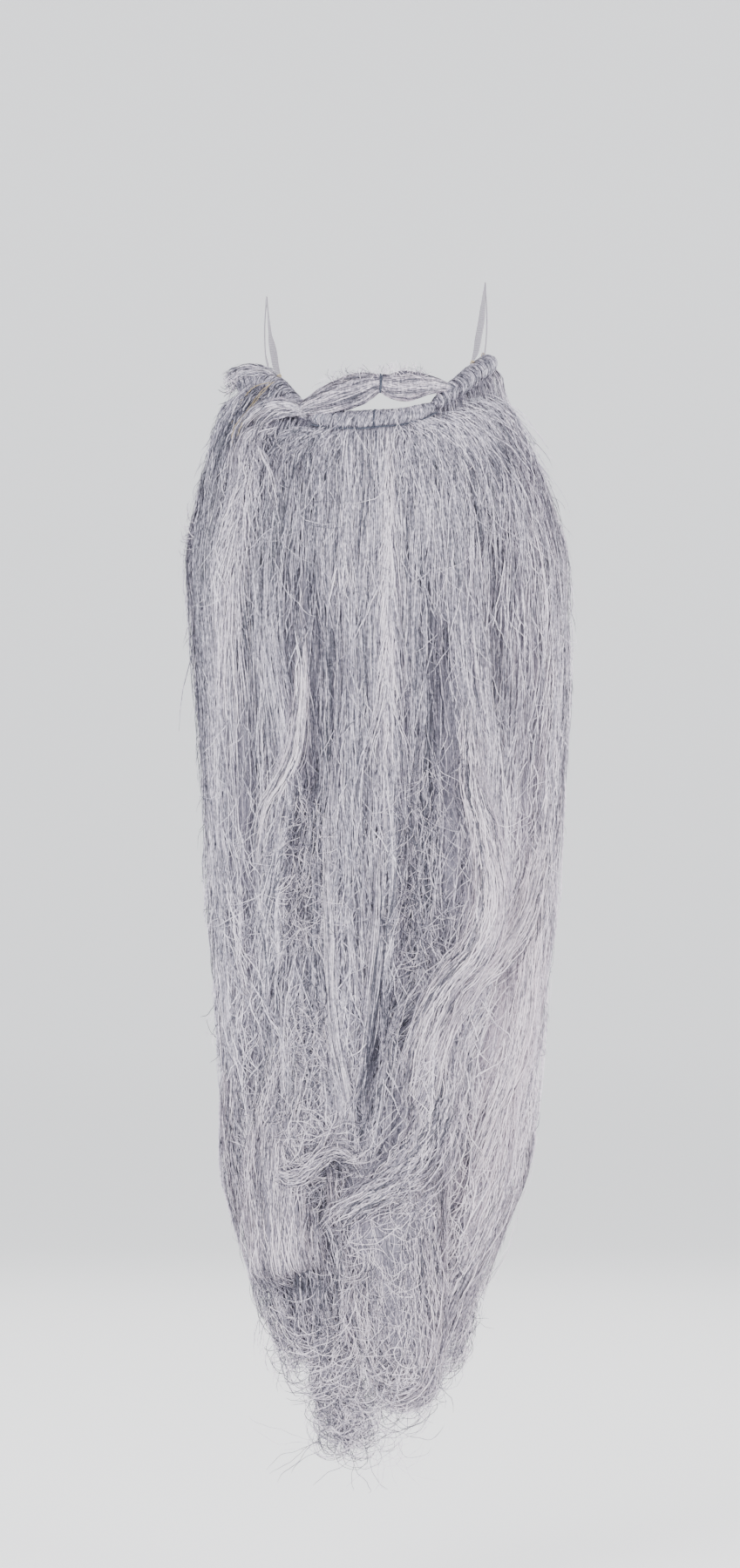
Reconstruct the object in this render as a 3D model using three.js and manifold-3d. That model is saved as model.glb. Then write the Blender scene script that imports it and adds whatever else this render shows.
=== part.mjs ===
// A long false beard with its moustache, worn over the jaw and hung from two elastic ear loops.
// Millimetres, +Z up. The wearer looks along -Y, so +X is the wearer's left, and the jaw goes in from +Y.
// The origin is where the front of the chin rests against the inside of the hair.
import * as THREE from "three";
import { mergeVertices } from "three/addons/utils/BufferGeometryUtils.js";
import Module from "manifold-3d";

const wasm = await Module();
wasm.setup();

// Driving dimensions
const DROP = 700; // from the chin down to the lowest lock
const HALF_WIDTH = 130; // half the width where the hair is widest
const HAIR_THICKNESS = 40; // front to back in the middle of the fall
const JAW_DEPTH = 95; // from the chin's front back to the ends of the cheek rolls
const FACE_HALF = 75; // half the width between the cheek rolls' ends
const BAND_RISE = 60; // from the chin point up to the ends of the cheek rolls
const CHEEK_ROLL_RADIUS = 6.5; // hair wound round the edging cord on the cheeks
const LIP_ROLL_RADIUS = 6.3; // the same under the lower lip
const DRAPE = 75; // the height in which the hair turns from the face's curve to its own
const MOUSTACHE_SPAN = 105; // tip to tip, straight across
const MOUSTACHE_HEIGHT = 20; // of the wings where they are fullest
const MOUSTACHE_THICKNESS = 10; // front to back
const MOUSTACHE_RISE = 39.5; // the middle of the moustache above the chin point
const THREAD = 0.9; // diameter of the dark tying thread
const TIE_TURNS = 3; // turns of thread round the moustache and round the lip roll
const ELASTIC_WIDTH = 6;
const ELASTIC_THICKNESS = 1;
const EAR_LOOP_HEIGHT = 58; // from a cheek roll up over the top of the ear
const EAR_LOOP_DEPTH = 46; // from the front strand back to behind the ear
const GAP = 0.3; // clearance left between pieces that are sewn together

// Fineness of the faceted solids
const FALL_COLUMNS = 40;
const FALL_ROWS = 37;
const ROLL_SIDES = 12;
const LOCK_SIDES = 12;

// The sewn edge, from the wearer's right ear round under the lip to the left ear. across is a share of
// FACE_HALF, back of JAW_DEPTH, up of BAND_RISE, plump of the roll's radius. fan says where the hair that
// starts there hangs, from -1 at the right edge of the fall to 1 at the left edge.
const RIGHT_CHEEK = [
  { across: -1.32, back: 0.97, up: 0.7, plump: 1.1, fan: -1.0 },
  { across: -1.15, back: 0.96, up: 0.77, plump: 1.0, fan: -0.92 },
  { across: -0.97, back: 0.85, up: 0.75, plump: 0.82, fan: -0.81 },
  { across: -0.84, back: 0.63, up: 0.6, plump: 0.74, fan: -0.69 },
  { across: -0.72, back: 0.4, up: 0.42, plump: 0.74, fan: -0.56 },
];
const UNDER_LIP = [
  { across: -0.6, back: 0.21, up: 0.31, plump: 0.8, fan: -0.42 },
  { across: -0.4, back: 0.05, up: 0.25, plump: 1.0, fan: -0.27 },
  { across: -0.06, back: -0.05, up: 0.25, plump: 1.0, fan: -0.04 },
  { across: 0.27, back: -0.01, up: 0.3, plump: 0.88, fan: 0.16 },
  { across: 0.49, back: 0.1, up: 0.41, plump: 0.66, fan: 0.33 },
];
const LEFT_CHEEK = [
  { across: 0.64, back: 0.25, up: 0.58, plump: 0.85, fan: 0.48 },
  { across: 0.76, back: 0.44, up: 0.7, plump: 1.0, fan: 0.62 },
  { across: 0.86, back: 0.65, up: 0.82, plump: 1.05, fan: 0.76 },
  { across: 0.96, back: 0.84, up: 0.93, plump: 1.05, fan: 0.9 },
  { across: 1.05, back: 0.99, up: 1.03, plump: 1.0, fan: 1.0 },
];

// Level sections of the fall. down is a share of DROP, right and left of HALF_WIDTH, the others of
// HAIR_THICKNESS: ahead is the outer face in the middle, thick the wall there, and wrap how far the
// side edges lie behind that outer face.
const SECTIONS = [
  { down: -0.06, right: 0.88, left: 0.68, ahead: 0.3, thick: 0.28, wrap: 2.5 },
  { down: 0.0, right: 0.93, left: 0.81, ahead: 0.36, thick: 0.36, wrap: 2.45 },
  { down: 0.05, right: 0.95, left: 0.9, ahead: 0.6, thick: 0.6, wrap: 2.35 },
  { down: 0.105, right: 1.0, left: 0.975, ahead: 0.75, thick: 0.8, wrap: 2.1 },
  { down: 0.17, right: 0.985, left: 0.98, ahead: 0.83, thick: 0.93, wrap: 1.85 },
  { down: 0.26, right: 0.94, left: 0.965, ahead: 0.86, thick: 1.0, wrap: 1.55 },
  { down: 0.34, right: 0.905, left: 0.93, ahead: 0.86, thick: 1.0, wrap: 1.38 },
  { down: 0.44, right: 0.875, left: 0.89, ahead: 0.83, thick: 1.0, wrap: 1.25 },
  { down: 0.54, right: 0.825, left: 0.835, ahead: 0.8, thick: 1.0, wrap: 1.15 },
  { down: 0.64, right: 0.785, left: 0.8, ahead: 0.8, thick: 0.98, wrap: 1.05 },
  { down: 0.72, right: 0.78, left: 0.73, ahead: 0.78, thick: 0.92, wrap: 0.9 },
  { down: 0.77, right: 0.72, left: 0.63, ahead: 0.74, thick: 0.82, wrap: 0.75 },
  { down: 0.82, right: 0.64, left: 0.54, ahead: 0.7, thick: 0.7, wrap: 0.6 },
  { down: 0.87, right: 0.55, left: 0.44, ahead: 0.64, thick: 0.55, wrap: 0.45 },
  { down: 0.91, right: 0.38, left: 0.32, ahead: 0.58, thick: 0.4, wrap: 0.28 },
  { down: 0.95, right: 0.28, left: 0.12, ahead: 0.5, thick: 0.25, wrap: 0.15 },
];

// Locks that stand out of the fall's front, or grooves where lift is below 0. from and to are shares of
// DROP, wide and line are shares of the half width at each height (line at even steps down the lock), and
// lift is a share of HAIR_THICKNESS.
const FRONT_LOCKS = [
  { name: "right edge band", from: 0.0, to: 0.74, wide: 0.18, lift: 0.12, line: [-0.82, -0.8, -0.86, -0.9, -0.94] },
  { name: "right swerve", from: 0.06, to: 0.62, wide: 0.18, lift: 0.14, line: [-0.53, -0.54, -0.46, -0.6, -0.84] },
  { name: "right groove", from: 0.1, to: 0.52, wide: 0.14, lift: -0.17, line: [-0.3, -0.28, -0.33, -0.44, -0.46] },
  { name: "middle band", from: 0.08, to: 0.72, wide: 0.16, lift: 0.1, line: [-0.14, -0.14, -0.17, -0.2, -0.26] },
  { name: "centre streak", from: -0.02, to: 0.62, wide: 0.12, lift: 0.14, line: [0.05, 0.05, 0.06, 0.07, 0.02] },
  { name: "main groove", from: 0.14, to: 0.78, wide: 0.19, lift: -0.2, line: [0.2, 0.26, 0.28, 0.24, 0.0, -0.3] },
  { name: "left swerve", from: 0.05, to: 0.86, wide: 0.22, lift: 0.22, line: [0.38, 0.4, 0.5, 0.6, 0.34, 0.24, 0.26] },
  { name: "upper left groove", from: 0.03, to: 0.32, wide: 0.15, lift: -0.12, line: [0.56, 0.56, 0.58, 0.64] },
  { name: "lower left groove", from: 0.4, to: 0.84, wide: 0.14, lift: -0.14, line: [0.84, 0.76, 0.62, 0.56, 0.58] },
  { name: "left edge band", from: 0.04, to: 0.84, wide: 0.2, lift: 0.14, line: [0.84, 0.9, 0.94, 0.9, 0.82] },
  { name: "right hollow", from: 0.65, to: 0.84, wide: 0.26, lift: -0.2, line: [-0.18, -0.34, -0.46, -0.3] },
];

// Broad waves of the fall's back.
const BACK_LOCKS = [
  { name: "right back band", from: 0.06, to: 0.8, wide: 0.26, lift: 0.1, line: [-0.7, -0.66, -0.7, -0.62, -0.6] },
  { name: "middle back band", from: 0.1, to: 0.85, wide: 0.24, lift: 0.12, line: [0.02, -0.04, 0.04, 0.0, -0.06] },
  { name: "left back band", from: 0.06, to: 0.8, wide: 0.26, lift: 0.1, line: [0.66, 0.7, 0.64, 0.66, 0.6] },
];

// Locks that end apart from the fall. Each starts inside the fall and is fused to it. from and to are
// shares of DROP, start, end and wide of HALF_WIDTH, thick and proud of HAIR_THICKNESS: proud is how far
// the lock's end stands out of the fall's front. blunt is the share of its length that its end takes.
const END_LOCKS = [
  { name: "folded end", from: 0.56, to: 0.812, start: -0.56, end: -0.5, wide: 0.46, thick: 0.6, proud: 0.16, blunt: 0.3 },
  { name: "main end", from: 0.6, to: 0.952, start: 0.22, end: 0.16, wide: 0.5, thick: 0.62, proud: 0.12, blunt: 0.22 },
  { name: "lowest end", from: 0.7, to: 0.993, start: -0.12, end: -0.17, wide: 0.32, thick: 0.45, proud: -0.05, blunt: 0.16 },
  { name: "right wisp", from: 0.7, to: 0.89, start: -0.58, end: -0.5, wide: 0.24, thick: 0.4, proud: -0.1, blunt: 0.3 },
  { name: "left wisp", from: 0.7, to: 0.905, start: 0.46, end: 0.38, wide: 0.16, thick: 0.36, proud: -0.1, blunt: 0.3 },
];

// The lock that is swept out from the right corner of the mouth and then hangs with the rest. across is a
// share of HALF_WIDTH, down of DROP, wide of HAIR_THICKNESS.
const SWEPT_LOCK = [
  { across: -0.41, down: -0.022, wide: 0.12 },
  { across: -0.47, down: -0.03, wide: 0.3 },
  { across: -0.55, down: -0.034, wide: 0.38 },
  { across: -0.63, down: -0.03, wide: 0.36 },
  { across: -0.7, down: -0.018, wide: 0.32 },
  { across: -0.74, down: 0.004, wide: 0.26 },
  { across: -0.755, down: 0.03, wide: 0.1 },
];

// The moustache from the wearer's right tip to the left tip. across is a share of half MOUSTACHE_SPAN, up
// and tall of MOUSTACHE_HEIGHT, thick of MOUSTACHE_THICKNESS, back of JAW_DEPTH.
const MOUSTACHE = [
  { across: -1.04, up: -0.84, tall: 0.26, thick: 0.4, back: 0.29 },
  { across: -0.94, up: -0.73, tall: 0.52, thick: 0.65, back: 0.21 },
  { across: -0.79, up: -0.62, tall: 0.78, thick: 0.85, back: 0.11 },
  { across: -0.57, up: -0.44, tall: 0.98, thick: 1.0, back: 0.01 },
  { across: -0.28, up: -0.2, tall: 1.0, thick: 1.0, back: -0.06 },
  { across: -0.1, up: -0.05, tall: 0.82, thick: 0.85, back: -0.085 },
  { across: 0.02, up: 0.0, tall: 0.58, thick: 0.62, back: -0.09 },
  { across: 0.16, up: -0.08, tall: 0.86, thick: 0.88, back: -0.08 },
  { across: 0.36, up: -0.08, tall: 0.95, thick: 1.0, back: -0.045 },
  { across: 0.57, up: -0.02, tall: 0.68, thick: 0.85, back: 0.03 },
  { across: 0.74, up: -0.01, tall: 0.48, thick: 0.65, back: 0.11 },
  { across: 0.91, up: -0.06, tall: 0.28, thick: 0.5, back: 0.2 },
];
const MOUSTACHE_WAIST = 6; // the row that the thread ties

// An ear loop above its front foot. out is away from the head and back is behind the foot, both shares of
// EAR_LOOP_DEPTH, up is a share of EAR_LOOP_HEIGHT, and the turns are the band's twist in degrees.
const EAR_LOOP = [
  { out: 0.07, back: 0.03, up: 0.14, rightTurn: 55, leftTurn: 40 },
  { out: 0.11, back: 0.07, up: 0.32, rightTurn: 80, leftTurn: 60 },
  { out: 0.16, back: 0.12, up: 0.54, rightTurn: 20, leftTurn: 55 },
  { out: 0.19, back: 0.22, up: 0.78, rightTurn: 5, leftTurn: 25 },
  { out: 0.22, back: 0.5, up: 0.98, rightTurn: 0, leftTurn: 5 },
  { out: 0.24, back: 0.83, up: 0.92, rightTurn: 0, leftTurn: 0 },
  { out: 0.26, back: 1.0, up: 0.66, rightTurn: 0, leftTurn: 0 },
  { out: 0.25, back: 0.95, up: 0.36, rightTurn: 0, leftTurn: 0 },
  { out: 0.21, back: 0.72, up: 0.11, rightTurn: 0, leftTurn: 0 },
];

const UP = new THREE.Vector3(0, 0, 1);
const vec = (x, y, z) => new THREE.Vector3(x, y, z);
const mix = THREE.MathUtils.lerp;
const smooth = THREE.MathUtils.smoothstep;

// The value of a table's column at a place that runs evenly from 0 at the first row to 1 at the last.
function evenly(rows, column, place) {
  const at = THREE.MathUtils.clamp(place, 0, 1) * (rows.length - 1);
  const low = Math.min(Math.floor(at), rows.length - 2);
  return mix(rows[low][column], rows[low + 1][column], at - low);
}

// The value of a column of SECTIONS at a share of DROP, as a smooth curve through the rows.
function section(column, down) {
  const rows = SECTIONS;
  const last = rows.length - 1;
  const at = THREE.MathUtils.clamp(down, rows[0].down, rows[last].down);
  const high = Math.max(1, rows.findIndex((row) => row.down >= at));
  const [low, top] = [rows[high - 1], rows[high]];
  const before = rows[Math.max(high - 2, 0)];
  const after = rows[Math.min(high + 1, last)];
  const step = top.down - low.down;
  const lowSlope = ((top[column] - before[column]) / (top.down - before.down)) * step;
  const topSlope = ((after[column] - low[column]) / (after.down - low.down)) * step;
  const t = (at - low.down) / step;
  const [t2, t3] = [t * t, t * t * t];
  const ends = (2 * t3 - 3 * t2 + 1) * low[column] + (3 * t2 - 2 * t3) * top[column];
  return ends + (t3 - 2 * t2 + t) * lowSlope + (t3 - t2) * topSlope;
}

// The value of a list of numbers at a place from 0 to 1, eased between them.
function along(list, place) {
  const at = THREE.MathUtils.clamp(place, 0, 1) * (list.length - 1);
  const low = Math.min(Math.floor(at), list.length - 2);
  return mix(list[low], list[low + 1], smooth(at - low, 0, 1));
}

// The sewn edge as one curve; row i of BAND lies at i / (BAND.length - 1).
const BAND = [
  ...RIGHT_CHEEK.map((row) => ({ ...row, radius: row.plump * CHEEK_ROLL_RADIUS })),
  ...UNDER_LIP.map((row) => ({ ...row, radius: row.plump * LIP_ROLL_RADIUS })),
  ...LEFT_CHEEK.map((row) => ({ ...row, radius: row.plump * CHEEK_ROLL_RADIUS })),
];
const bandCurve = new THREE.CatmullRomCurve3(
  BAND.map((row) => vec(row.across * FACE_HALF, row.back * JAW_DEPTH, row.up * BAND_RISE)),
);
const RIGHT_CORNER = RIGHT_CHEEK.length / (BAND.length - 1);
const LEFT_CORNER = (RIGHT_CHEEK.length + UNDER_LIP.length - 1) / (BAND.length - 1);

// Centre, radius and the two directions across the wound edge at a place along it. out points away from
// the face.
function edgeAt(place) {
  const centre = bandCurve.getPoint(place);
  const tangent = bandCurve.getTangent(place);
  const out = vec().crossVectors(tangent, UP).normalize();
  const over = vec().crossVectors(out, tangent).normalize();
  return { centre, tangent, out, over, radius: evenly(BAND, "radius", place) };
}

// A point on the wound edge's skin plus GAP, at an angle from straight out towards the top.
function onEdge(place, angle) {
  const { centre, out, over, radius } = edgeAt(place);
  const reach = radius + GAP;
  return centre.addScaledVector(out, reach * Math.cos(angle)).addScaledVector(over, reach * Math.sin(angle));
}

// Six times the volume that a mesh encloses, with its sign.
function signedVolume(positions, index) {
  let sum = 0;
  for (let i = 0; i < index.length; i += 3) {
    const [a, b, c] = [0, 1, 2].map((k) => vec().fromArray(positions, index[i + k] * 3));
    sum += a.dot(b.cross(c));
  }
  return sum;
}

// A geometry with its faces turned outwards.
function closedGeometry(positions, index) {
  if (signedVolume(positions, index) < 0) {
    for (let i = 0; i < index.length; i += 3) [index[i + 1], index[i + 2]] = [index[i + 2], index[i + 1]];
  }
  const geometry = new THREE.BufferGeometry();
  geometry.setAttribute("position", new THREE.Float32BufferAttribute(positions, 3));
  geometry.setIndex(index);
  geometry.computeVertexNormals();
  return geometry;
}

// Skins rings of points that all have the same count, and closes both ends with the faces that cap gives
// for a ring's first vertex number.
function skin(rings, cap) {
  const sides = rings[0].length;
  const points = rings.flat();
  const positions = points.flatMap((p) => [p.x, p.y, p.z]);
  const index = [];
  for (let r = 0; r < rings.length - 1; r += 1) {
    for (let k = 0; k < sides; k += 1) {
      const [a, b] = [r * sides + k, r * sides + ((k + 1) % sides)];
      const [c, d] = [b + sides, a + sides];
      const shorter = points[a].distanceTo(points[c]) < points[b].distanceTo(points[d]);
      index.push(...(shorter ? [a, b, c, a, c, d] : [a, b, d, b, c, d]));
    }
  }
  const last = (rings.length - 1) * sides;
  for (const [i, j, k] of cap(sides)) {
    index.push(i, k, j);
    index.push(last + i, last + j, last + k);
  }
  return closedGeometry(positions, index);
}

// Cap of a ring without dents: a fan.
const fanCap = (sides) => Array.from({ length: sides - 2 }, (_, k) => [0, k + 1, k + 2]);

// Cap of a thin curved ring: a strip between vertices that face each other across the wall.
function stripCap(sides) {
  const half = sides / 2;
  const faces = [[0, 1, sides - 1], [half - 1, half, half + 1]];
  for (let k = 1; k < half - 1; k += 1) {
    faces.push([k, k + 1, sides - k - 1], [k, sides - k - 1, sides - k]);
  }
  return faces;
}

// A manifold solid from a geometry, and back.
function solidOf(geometry) {
  const bare = geometry.clone();
  bare.deleteAttribute("normal");
  const merged = mergeVertices(bare, 1e-3);
  return new wasm.Manifold(
    new wasm.Mesh({
      numProp: 3,
      vertProperties: merged.attributes.position.array,
      triVerts: new Uint32Array(merged.index.array),
    }),
  );
}
function geometryOf(solid) {
  const mesh = solid.getMesh();
  const geometry = new THREE.BufferGeometry();
  geometry.setAttribute("position", new THREE.BufferAttribute(mesh.vertProperties, 3));
  geometry.setIndex(new THREE.BufferAttribute(mesh.triVerts, 1));
  geometry.computeVertexNormals();
  return geometry;
}

// An oval ring round a centre. wide and high are its half sizes along two directions.
function ovalRing(centre, across, wide, upward, high, sides = LOCK_SIDES) {
  return Array.from({ length: sides }, (_, k) => {
    const turn = (2 * Math.PI * k) / sides;
    const point = centre.clone().addScaledVector(across, wide * Math.cos(turn));
    return point.addScaledVector(upward, high * Math.sin(turn));
  });
}

// Hair wound round a stretch of the sewn edge, with rounded ends. grown is added all round.
const ROLL_STATIONS = 16;
const ROUND_END = 0.14; // the share of a roll's length in which it rounds off
function roll(from, to, grown = 0) {
  const length = bandCurve.getLength() * (to - from);
  const rings = [];
  for (let i = 0; i <= ROLL_STATIONS; i += 1) {
    const share = 0.5 - 0.5 * Math.cos((Math.PI * i) / ROLL_STATIONS);
    const place = mix(from + GAP / 2 / length, to - GAP / 2 / length, share);
    const { centre, out, over, radius } = edgeAt(place);
    const end = Math.min(share, 1 - share) / ROUND_END;
    const round = end < 1 ? mix(0.55, 1, Math.sqrt(1 - (1 - end) ** 2)) : 1;
    const size = radius * round + grown;
    rings.push(ovalRing(centre, out, size, over, size, ROLL_SIDES));
  }
  return skin(rings, fanCap);
}

// How far the locks of a table lift the fall at a share of DROP and a place across from -1 to 1.
function relief(locks, down, across) {
  let lift = 0;
  for (const lock of locks) {
    const place = (down - lock.from) / (lock.to - lock.from);
    if (place < 0 || place > 1) continue;
    const off = (across - along(lock.line, place)) / lock.wide;
    if (Math.abs(off) > 1) continue;
    const fade = smooth(place, 0, 0.25) * (1 - smooth(place, 0.75, 1));
    lift += lock.lift * fade * (0.5 + 0.5 * Math.cos(Math.PI * off));
  }
  return lift * HAIR_THICKNESS;
}

// A point of the fall's middle line at a height, and the way out of the hair there.
const WRAP_POWER = 2.4; // 2 is a parabola in plan, more is flatter in front
function sectionPoint(across, down) {
  const half = section(across < 0 ? "right" : "left", down) * HALF_WIDTH;
  const [ahead, wrap] = [section("ahead", down), section("wrap", down)];
  const share = Math.abs(across);
  const point = vec(half * across, (wrap * share ** WRAP_POWER - ahead) * HAIR_THICKNESS, -down * DROP);
  const slope = (wrap * WRAP_POWER * share ** (WRAP_POWER - 1) * HAIR_THICKNESS * Math.sign(across)) / half;
  return { point, out: vec(slope, -1, 0).normalize() };
}

// The lower edge of the fall itself, as a share of DROP, at a place across. The end locks hang below it.
const LOWEST = 0.935;
const EDGE_RISE = 0.075;
const lowerEdge = (across) => LOWEST - EDGE_RISE * across * across;

// One column of the fall: where the hair that starts at a place along the sewn edge lies, from the edge
// (v = 0) to its end (v = 1), as a point of the outer face and one of the inner face.
const TUCK = 0.35; // the fall's top lies this share of the roll's radius under its centre
const TOP_WALL = 1.55; // the wall at the top, in roll radii
const RIM = 0.34; // the wall at the side edges, as a share of the wall in the middle
const END_WALL = 0.3; // the same at the lower edge
function fallPoint(place, v) {
  const edge = edgeAt(place);
  const across = evenly(BAND, "fan", place);
  const top = -(edge.centre.z - TUCK * edge.radius) / DROP;
  const down = mix(top, lowerEdge(across), v);
  const { point, out } = sectionPoint(across, down);
  const hung = 1 - (1 - Math.min(((down - top) * DROP) / DRAPE, 1)) ** 2;
  const level = -down * DROP;
  const outer = vec(edge.centre.x, edge.centre.y, level);
  const away = vec(edge.out.x, edge.out.y, 0).normalize();
  outer.addScaledVector(away, (TOP_WALL / 2) * edge.radius);
  const wall = section("thick", down) * HAIR_THICKNESS * mix(RIM, 1, 1 - Math.abs(across) ** 3);
  const ending = mix(1, END_WALL, smooth(v, 0.86, 1));
  outer.lerp(point, hung);
  away.lerp(out, hung).normalize();
  const thickness = mix(TOP_WALL * edge.radius, wall, hung) * ending;
  const inner = outer.clone().addScaledVector(away, -thickness - relief(BACK_LOCKS, down, across) * ending * -0.5);
  outer.addScaledVector(away, relief(FRONT_LOCKS, down, across) * ending * hung);
  return { outer, inner, away };
}

// The curtain of hair as one closed wall that follows the sewn edge at the top and flattens below.
function curtain() {
  const rings = [];
  for (let r = 0; r < FALL_ROWS; r += 1) {
    const v = r / (FALL_ROWS - 1);
    const columns = Array.from({ length: FALL_COLUMNS }, (_, c) => fallPoint(c / (FALL_COLUMNS - 1), v));
    const [first, last] = [columns[0], columns[FALL_COLUMNS - 1]];
    const rims = [first, last].map(({ outer, inner, away }, side) => {
      const along = vec().crossVectors(away, UP).multiplyScalar(side ? -1 : 1);
      return outer.clone().lerp(inner, 0.5).addScaledVector(along, -0.35 * outer.distanceTo(inner));
    });
    const outers = columns.map((column) => column.outer);
    const inners = columns.map((column) => column.inner).reverse();
    rings.push([rims[0], ...outers, rims[1], ...inners]);
  }
  return skin(rings, stripCap);
}

// A lock with a round end that comes out of the fall's front. Its upper end is shut inside the fall.
const END_LOCK_RINGS = 10;
const SUNK = 0.3; // how deep the upper end lies under the fall's front, as a share of HAIR_THICKNESS
function endLock({ from, to, start, end, wide, thick, proud, blunt }) {
  const rings = [];
  for (let r = 0; r < END_LOCK_RINGS; r += 1) {
    const share = Math.sin((Math.PI / 2) * (r / (END_LOCK_RINGS - 1)));
    const left = (1 - share) / blunt;
    const round = left < 1 ? mix(0.3, 1, Math.sqrt(1 - (1 - left) ** 2)) : 1;
    const size = round * mix(0.6, 1, smooth(share, 0, 0.5));
    const [across, down] = [mix(start, end, share) * HALF_WIDTH, mix(from, to, share)];
    const half = section(across < 0 ? "right" : "left", down) * HALF_WIDTH;
    const front = sectionPoint(THREE.MathUtils.clamp(across / half, -1, 1), down).point.y;
    const [halfWide, halfThick] = [(wide * HALF_WIDTH * size) / 2, (thick * HAIR_THICKNESS * size) / 2];
    const out = mix(-SUNK, proud, smooth(share, 0.1, 0.75)) * HAIR_THICKNESS;
    const centre = vec(across, front + halfThick - out, -down * DROP);
    rings.push(ovalRing(centre, vec(1, 0, 0), halfWide, vec(0, 1, 0), halfThick));
  }
  return skin(rings, fanCap);
}

// The swept lock, laid on the outer face of the curtain.
const SWEPT_RINGS = 15;
const SWEPT_PROUD = 2.5; // its middle line ahead of the fall's face
function sweptLock() {
  const line = new THREE.CatmullRomCurve3(
    SWEPT_LOCK.map(({ across, down }) => {
      const nearest = nearestOuter(across * HALF_WIDTH, -down * DROP);
      return nearest.outer.addScaledVector(nearest.away, SWEPT_PROUD);
    }),
  );
  const rings = [];
  for (let r = 0; r < SWEPT_RINGS; r += 1) {
    const place = r / (SWEPT_RINGS - 1);
    const centre = line.getPoint(place);
    const tangent = line.getTangent(place);
    const { away } = nearestOuter(centre.x, centre.z);
    const side = vec().crossVectors(tangent, away).normalize();
    const half = (evenly(SWEPT_LOCK, "wide", place) * HAIR_THICKNESS) / 2;
    rings.push(ovalRing(centre, side, half, away, half * 0.75));
  }
  return skin(rings, fanCap);
}

// The point of the curtain's outer face that shows at a place of the front view.
const SEARCH_COLUMNS = 60;
const SEARCH_ROWS = 80;
const SEARCH_DEPTH = 0.35; // how far down the fall the search goes
function nearestOuter(x, z) {
  let best = null;
  for (let c = 0; c <= SEARCH_COLUMNS; c += 1) {
    for (let r = 0; r <= SEARCH_ROWS; r += 1) {
      const found = fallPoint(c / SEARCH_COLUMNS, (SEARCH_DEPTH * r) / SEARCH_ROWS);
      const off = Math.hypot(found.outer.x - x, found.outer.z - z);
      if (!best || off < best.off) best = { ...found, off };
    }
  }
  return best;
}

// The moustache's middle line and its half sizes, at a place from the right tip to the left tip.
const moustacheCurve = new THREE.CatmullRomCurve3(
  MOUSTACHE.map(({ across, up, back }) =>
    vec((across * MOUSTACHE_SPAN) / 2, back * JAW_DEPTH, MOUSTACHE_RISE + up * MOUSTACHE_HEIGHT),
  ),
);
function moustacheRing(place, grown, sides = LOCK_SIDES) {
  const tangent = moustacheCurve.getTangent(place);
  const forward = vec().crossVectors(tangent, UP).normalize();
  const upward = vec().crossVectors(forward, tangent).normalize();
  const high = (evenly(MOUSTACHE, "tall", place) * MOUSTACHE_HEIGHT) / 2 + grown;
  const deep = (evenly(MOUSTACHE, "thick", place) * MOUSTACHE_THICKNESS) / 2 + grown;
  return ovalRing(moustacheCurve.getPoint(place), forward, deep, upward, high, sides);
}
const RINGS_PER_ROW = 2;
function moustache(grown = 0) {
  const steps = (MOUSTACHE.length - 1) * RINGS_PER_ROW;
  const places = Array.from({ length: steps + 1 }, (_, r) => r / steps);
  return skin(places.map((place) => moustacheRing(place, grown)), fanCap);
}

// Thread wound round a waist. ringAt(step, grown) gives the waist's ring at a step along it, in
// millimetres from its middle.
const TIE_SIDES = 14;
function threadTie(ringAt) {
  const steps = TIE_TURNS * 2;
  const rings = [ringAt((-steps * THREAD) / 4, GAP)];
  for (let s = 0; s <= steps; s += 1) {
    const reach = s % 2 ? THREAD : THREAD * 0.35;
    rings.push(ringAt(((s - steps / 2) * THREAD) / 2, GAP + reach));
  }
  rings.push(ringAt((steps * THREAD) / 4, GAP));
  const positions = rings.flat().flatMap((p) => [p.x, p.y, p.z]);
  const index = [];
  for (let r = 0; r < rings.length; r += 1) {
    const next = (r + 1) % rings.length;
    for (let k = 0; k < TIE_SIDES; k += 1) {
      const after = (k + 1) % TIE_SIDES;
      const [a, b] = [r * TIE_SIDES + k, r * TIE_SIDES + after];
      const [c, d] = [next * TIE_SIDES + after, next * TIE_SIDES + k];
      index.push(a, b, c, a, c, d);
    }
  }
  return closedGeometry(positions, index);
}

// The same ring moved along a direction, so that a tie is as wide as its thread.
function movedRing(ring, direction, step) {
  return ring.map((p) => p.clone().addScaledVector(direction, step));
}

const WAIST = MOUSTACHE_WAIST / (MOUSTACHE.length - 1);
const TIE_SLACK = 0.3; // a tie's flat sides clear the round waist by this much more
function moustacheTie() {
  const length = moustacheCurve.getLength();
  return threadTie((step, grown) => moustacheRing(WAIST + step / length, grown + TIE_SLACK, TIE_SIDES));
}

const LIP_MIDDLE = (RIGHT_CHEEK.length + 2.05) / (BAND.length - 1);
function lipRing(step, grown) {
  const { centre, tangent, out, over, radius } = edgeAt(LIP_MIDDLE);
  const size = radius + grown + TIE_SLACK / 2;
  return movedRing(ovalRing(centre, out, size, over, size, TIE_SIDES), tangent, step);
}
const lipTie = () => threadTie(lipRing);

// The room that the lip roll's tie needs in the fall.
function lipTieRoom() {
  const [half, reach] = [(TIE_TURNS * THREAD) / 2 + GAP, GAP * 2 + THREAD];
  return skin([lipRing(-half, reach), lipRing(half, reach)], fanCap);
}

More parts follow.
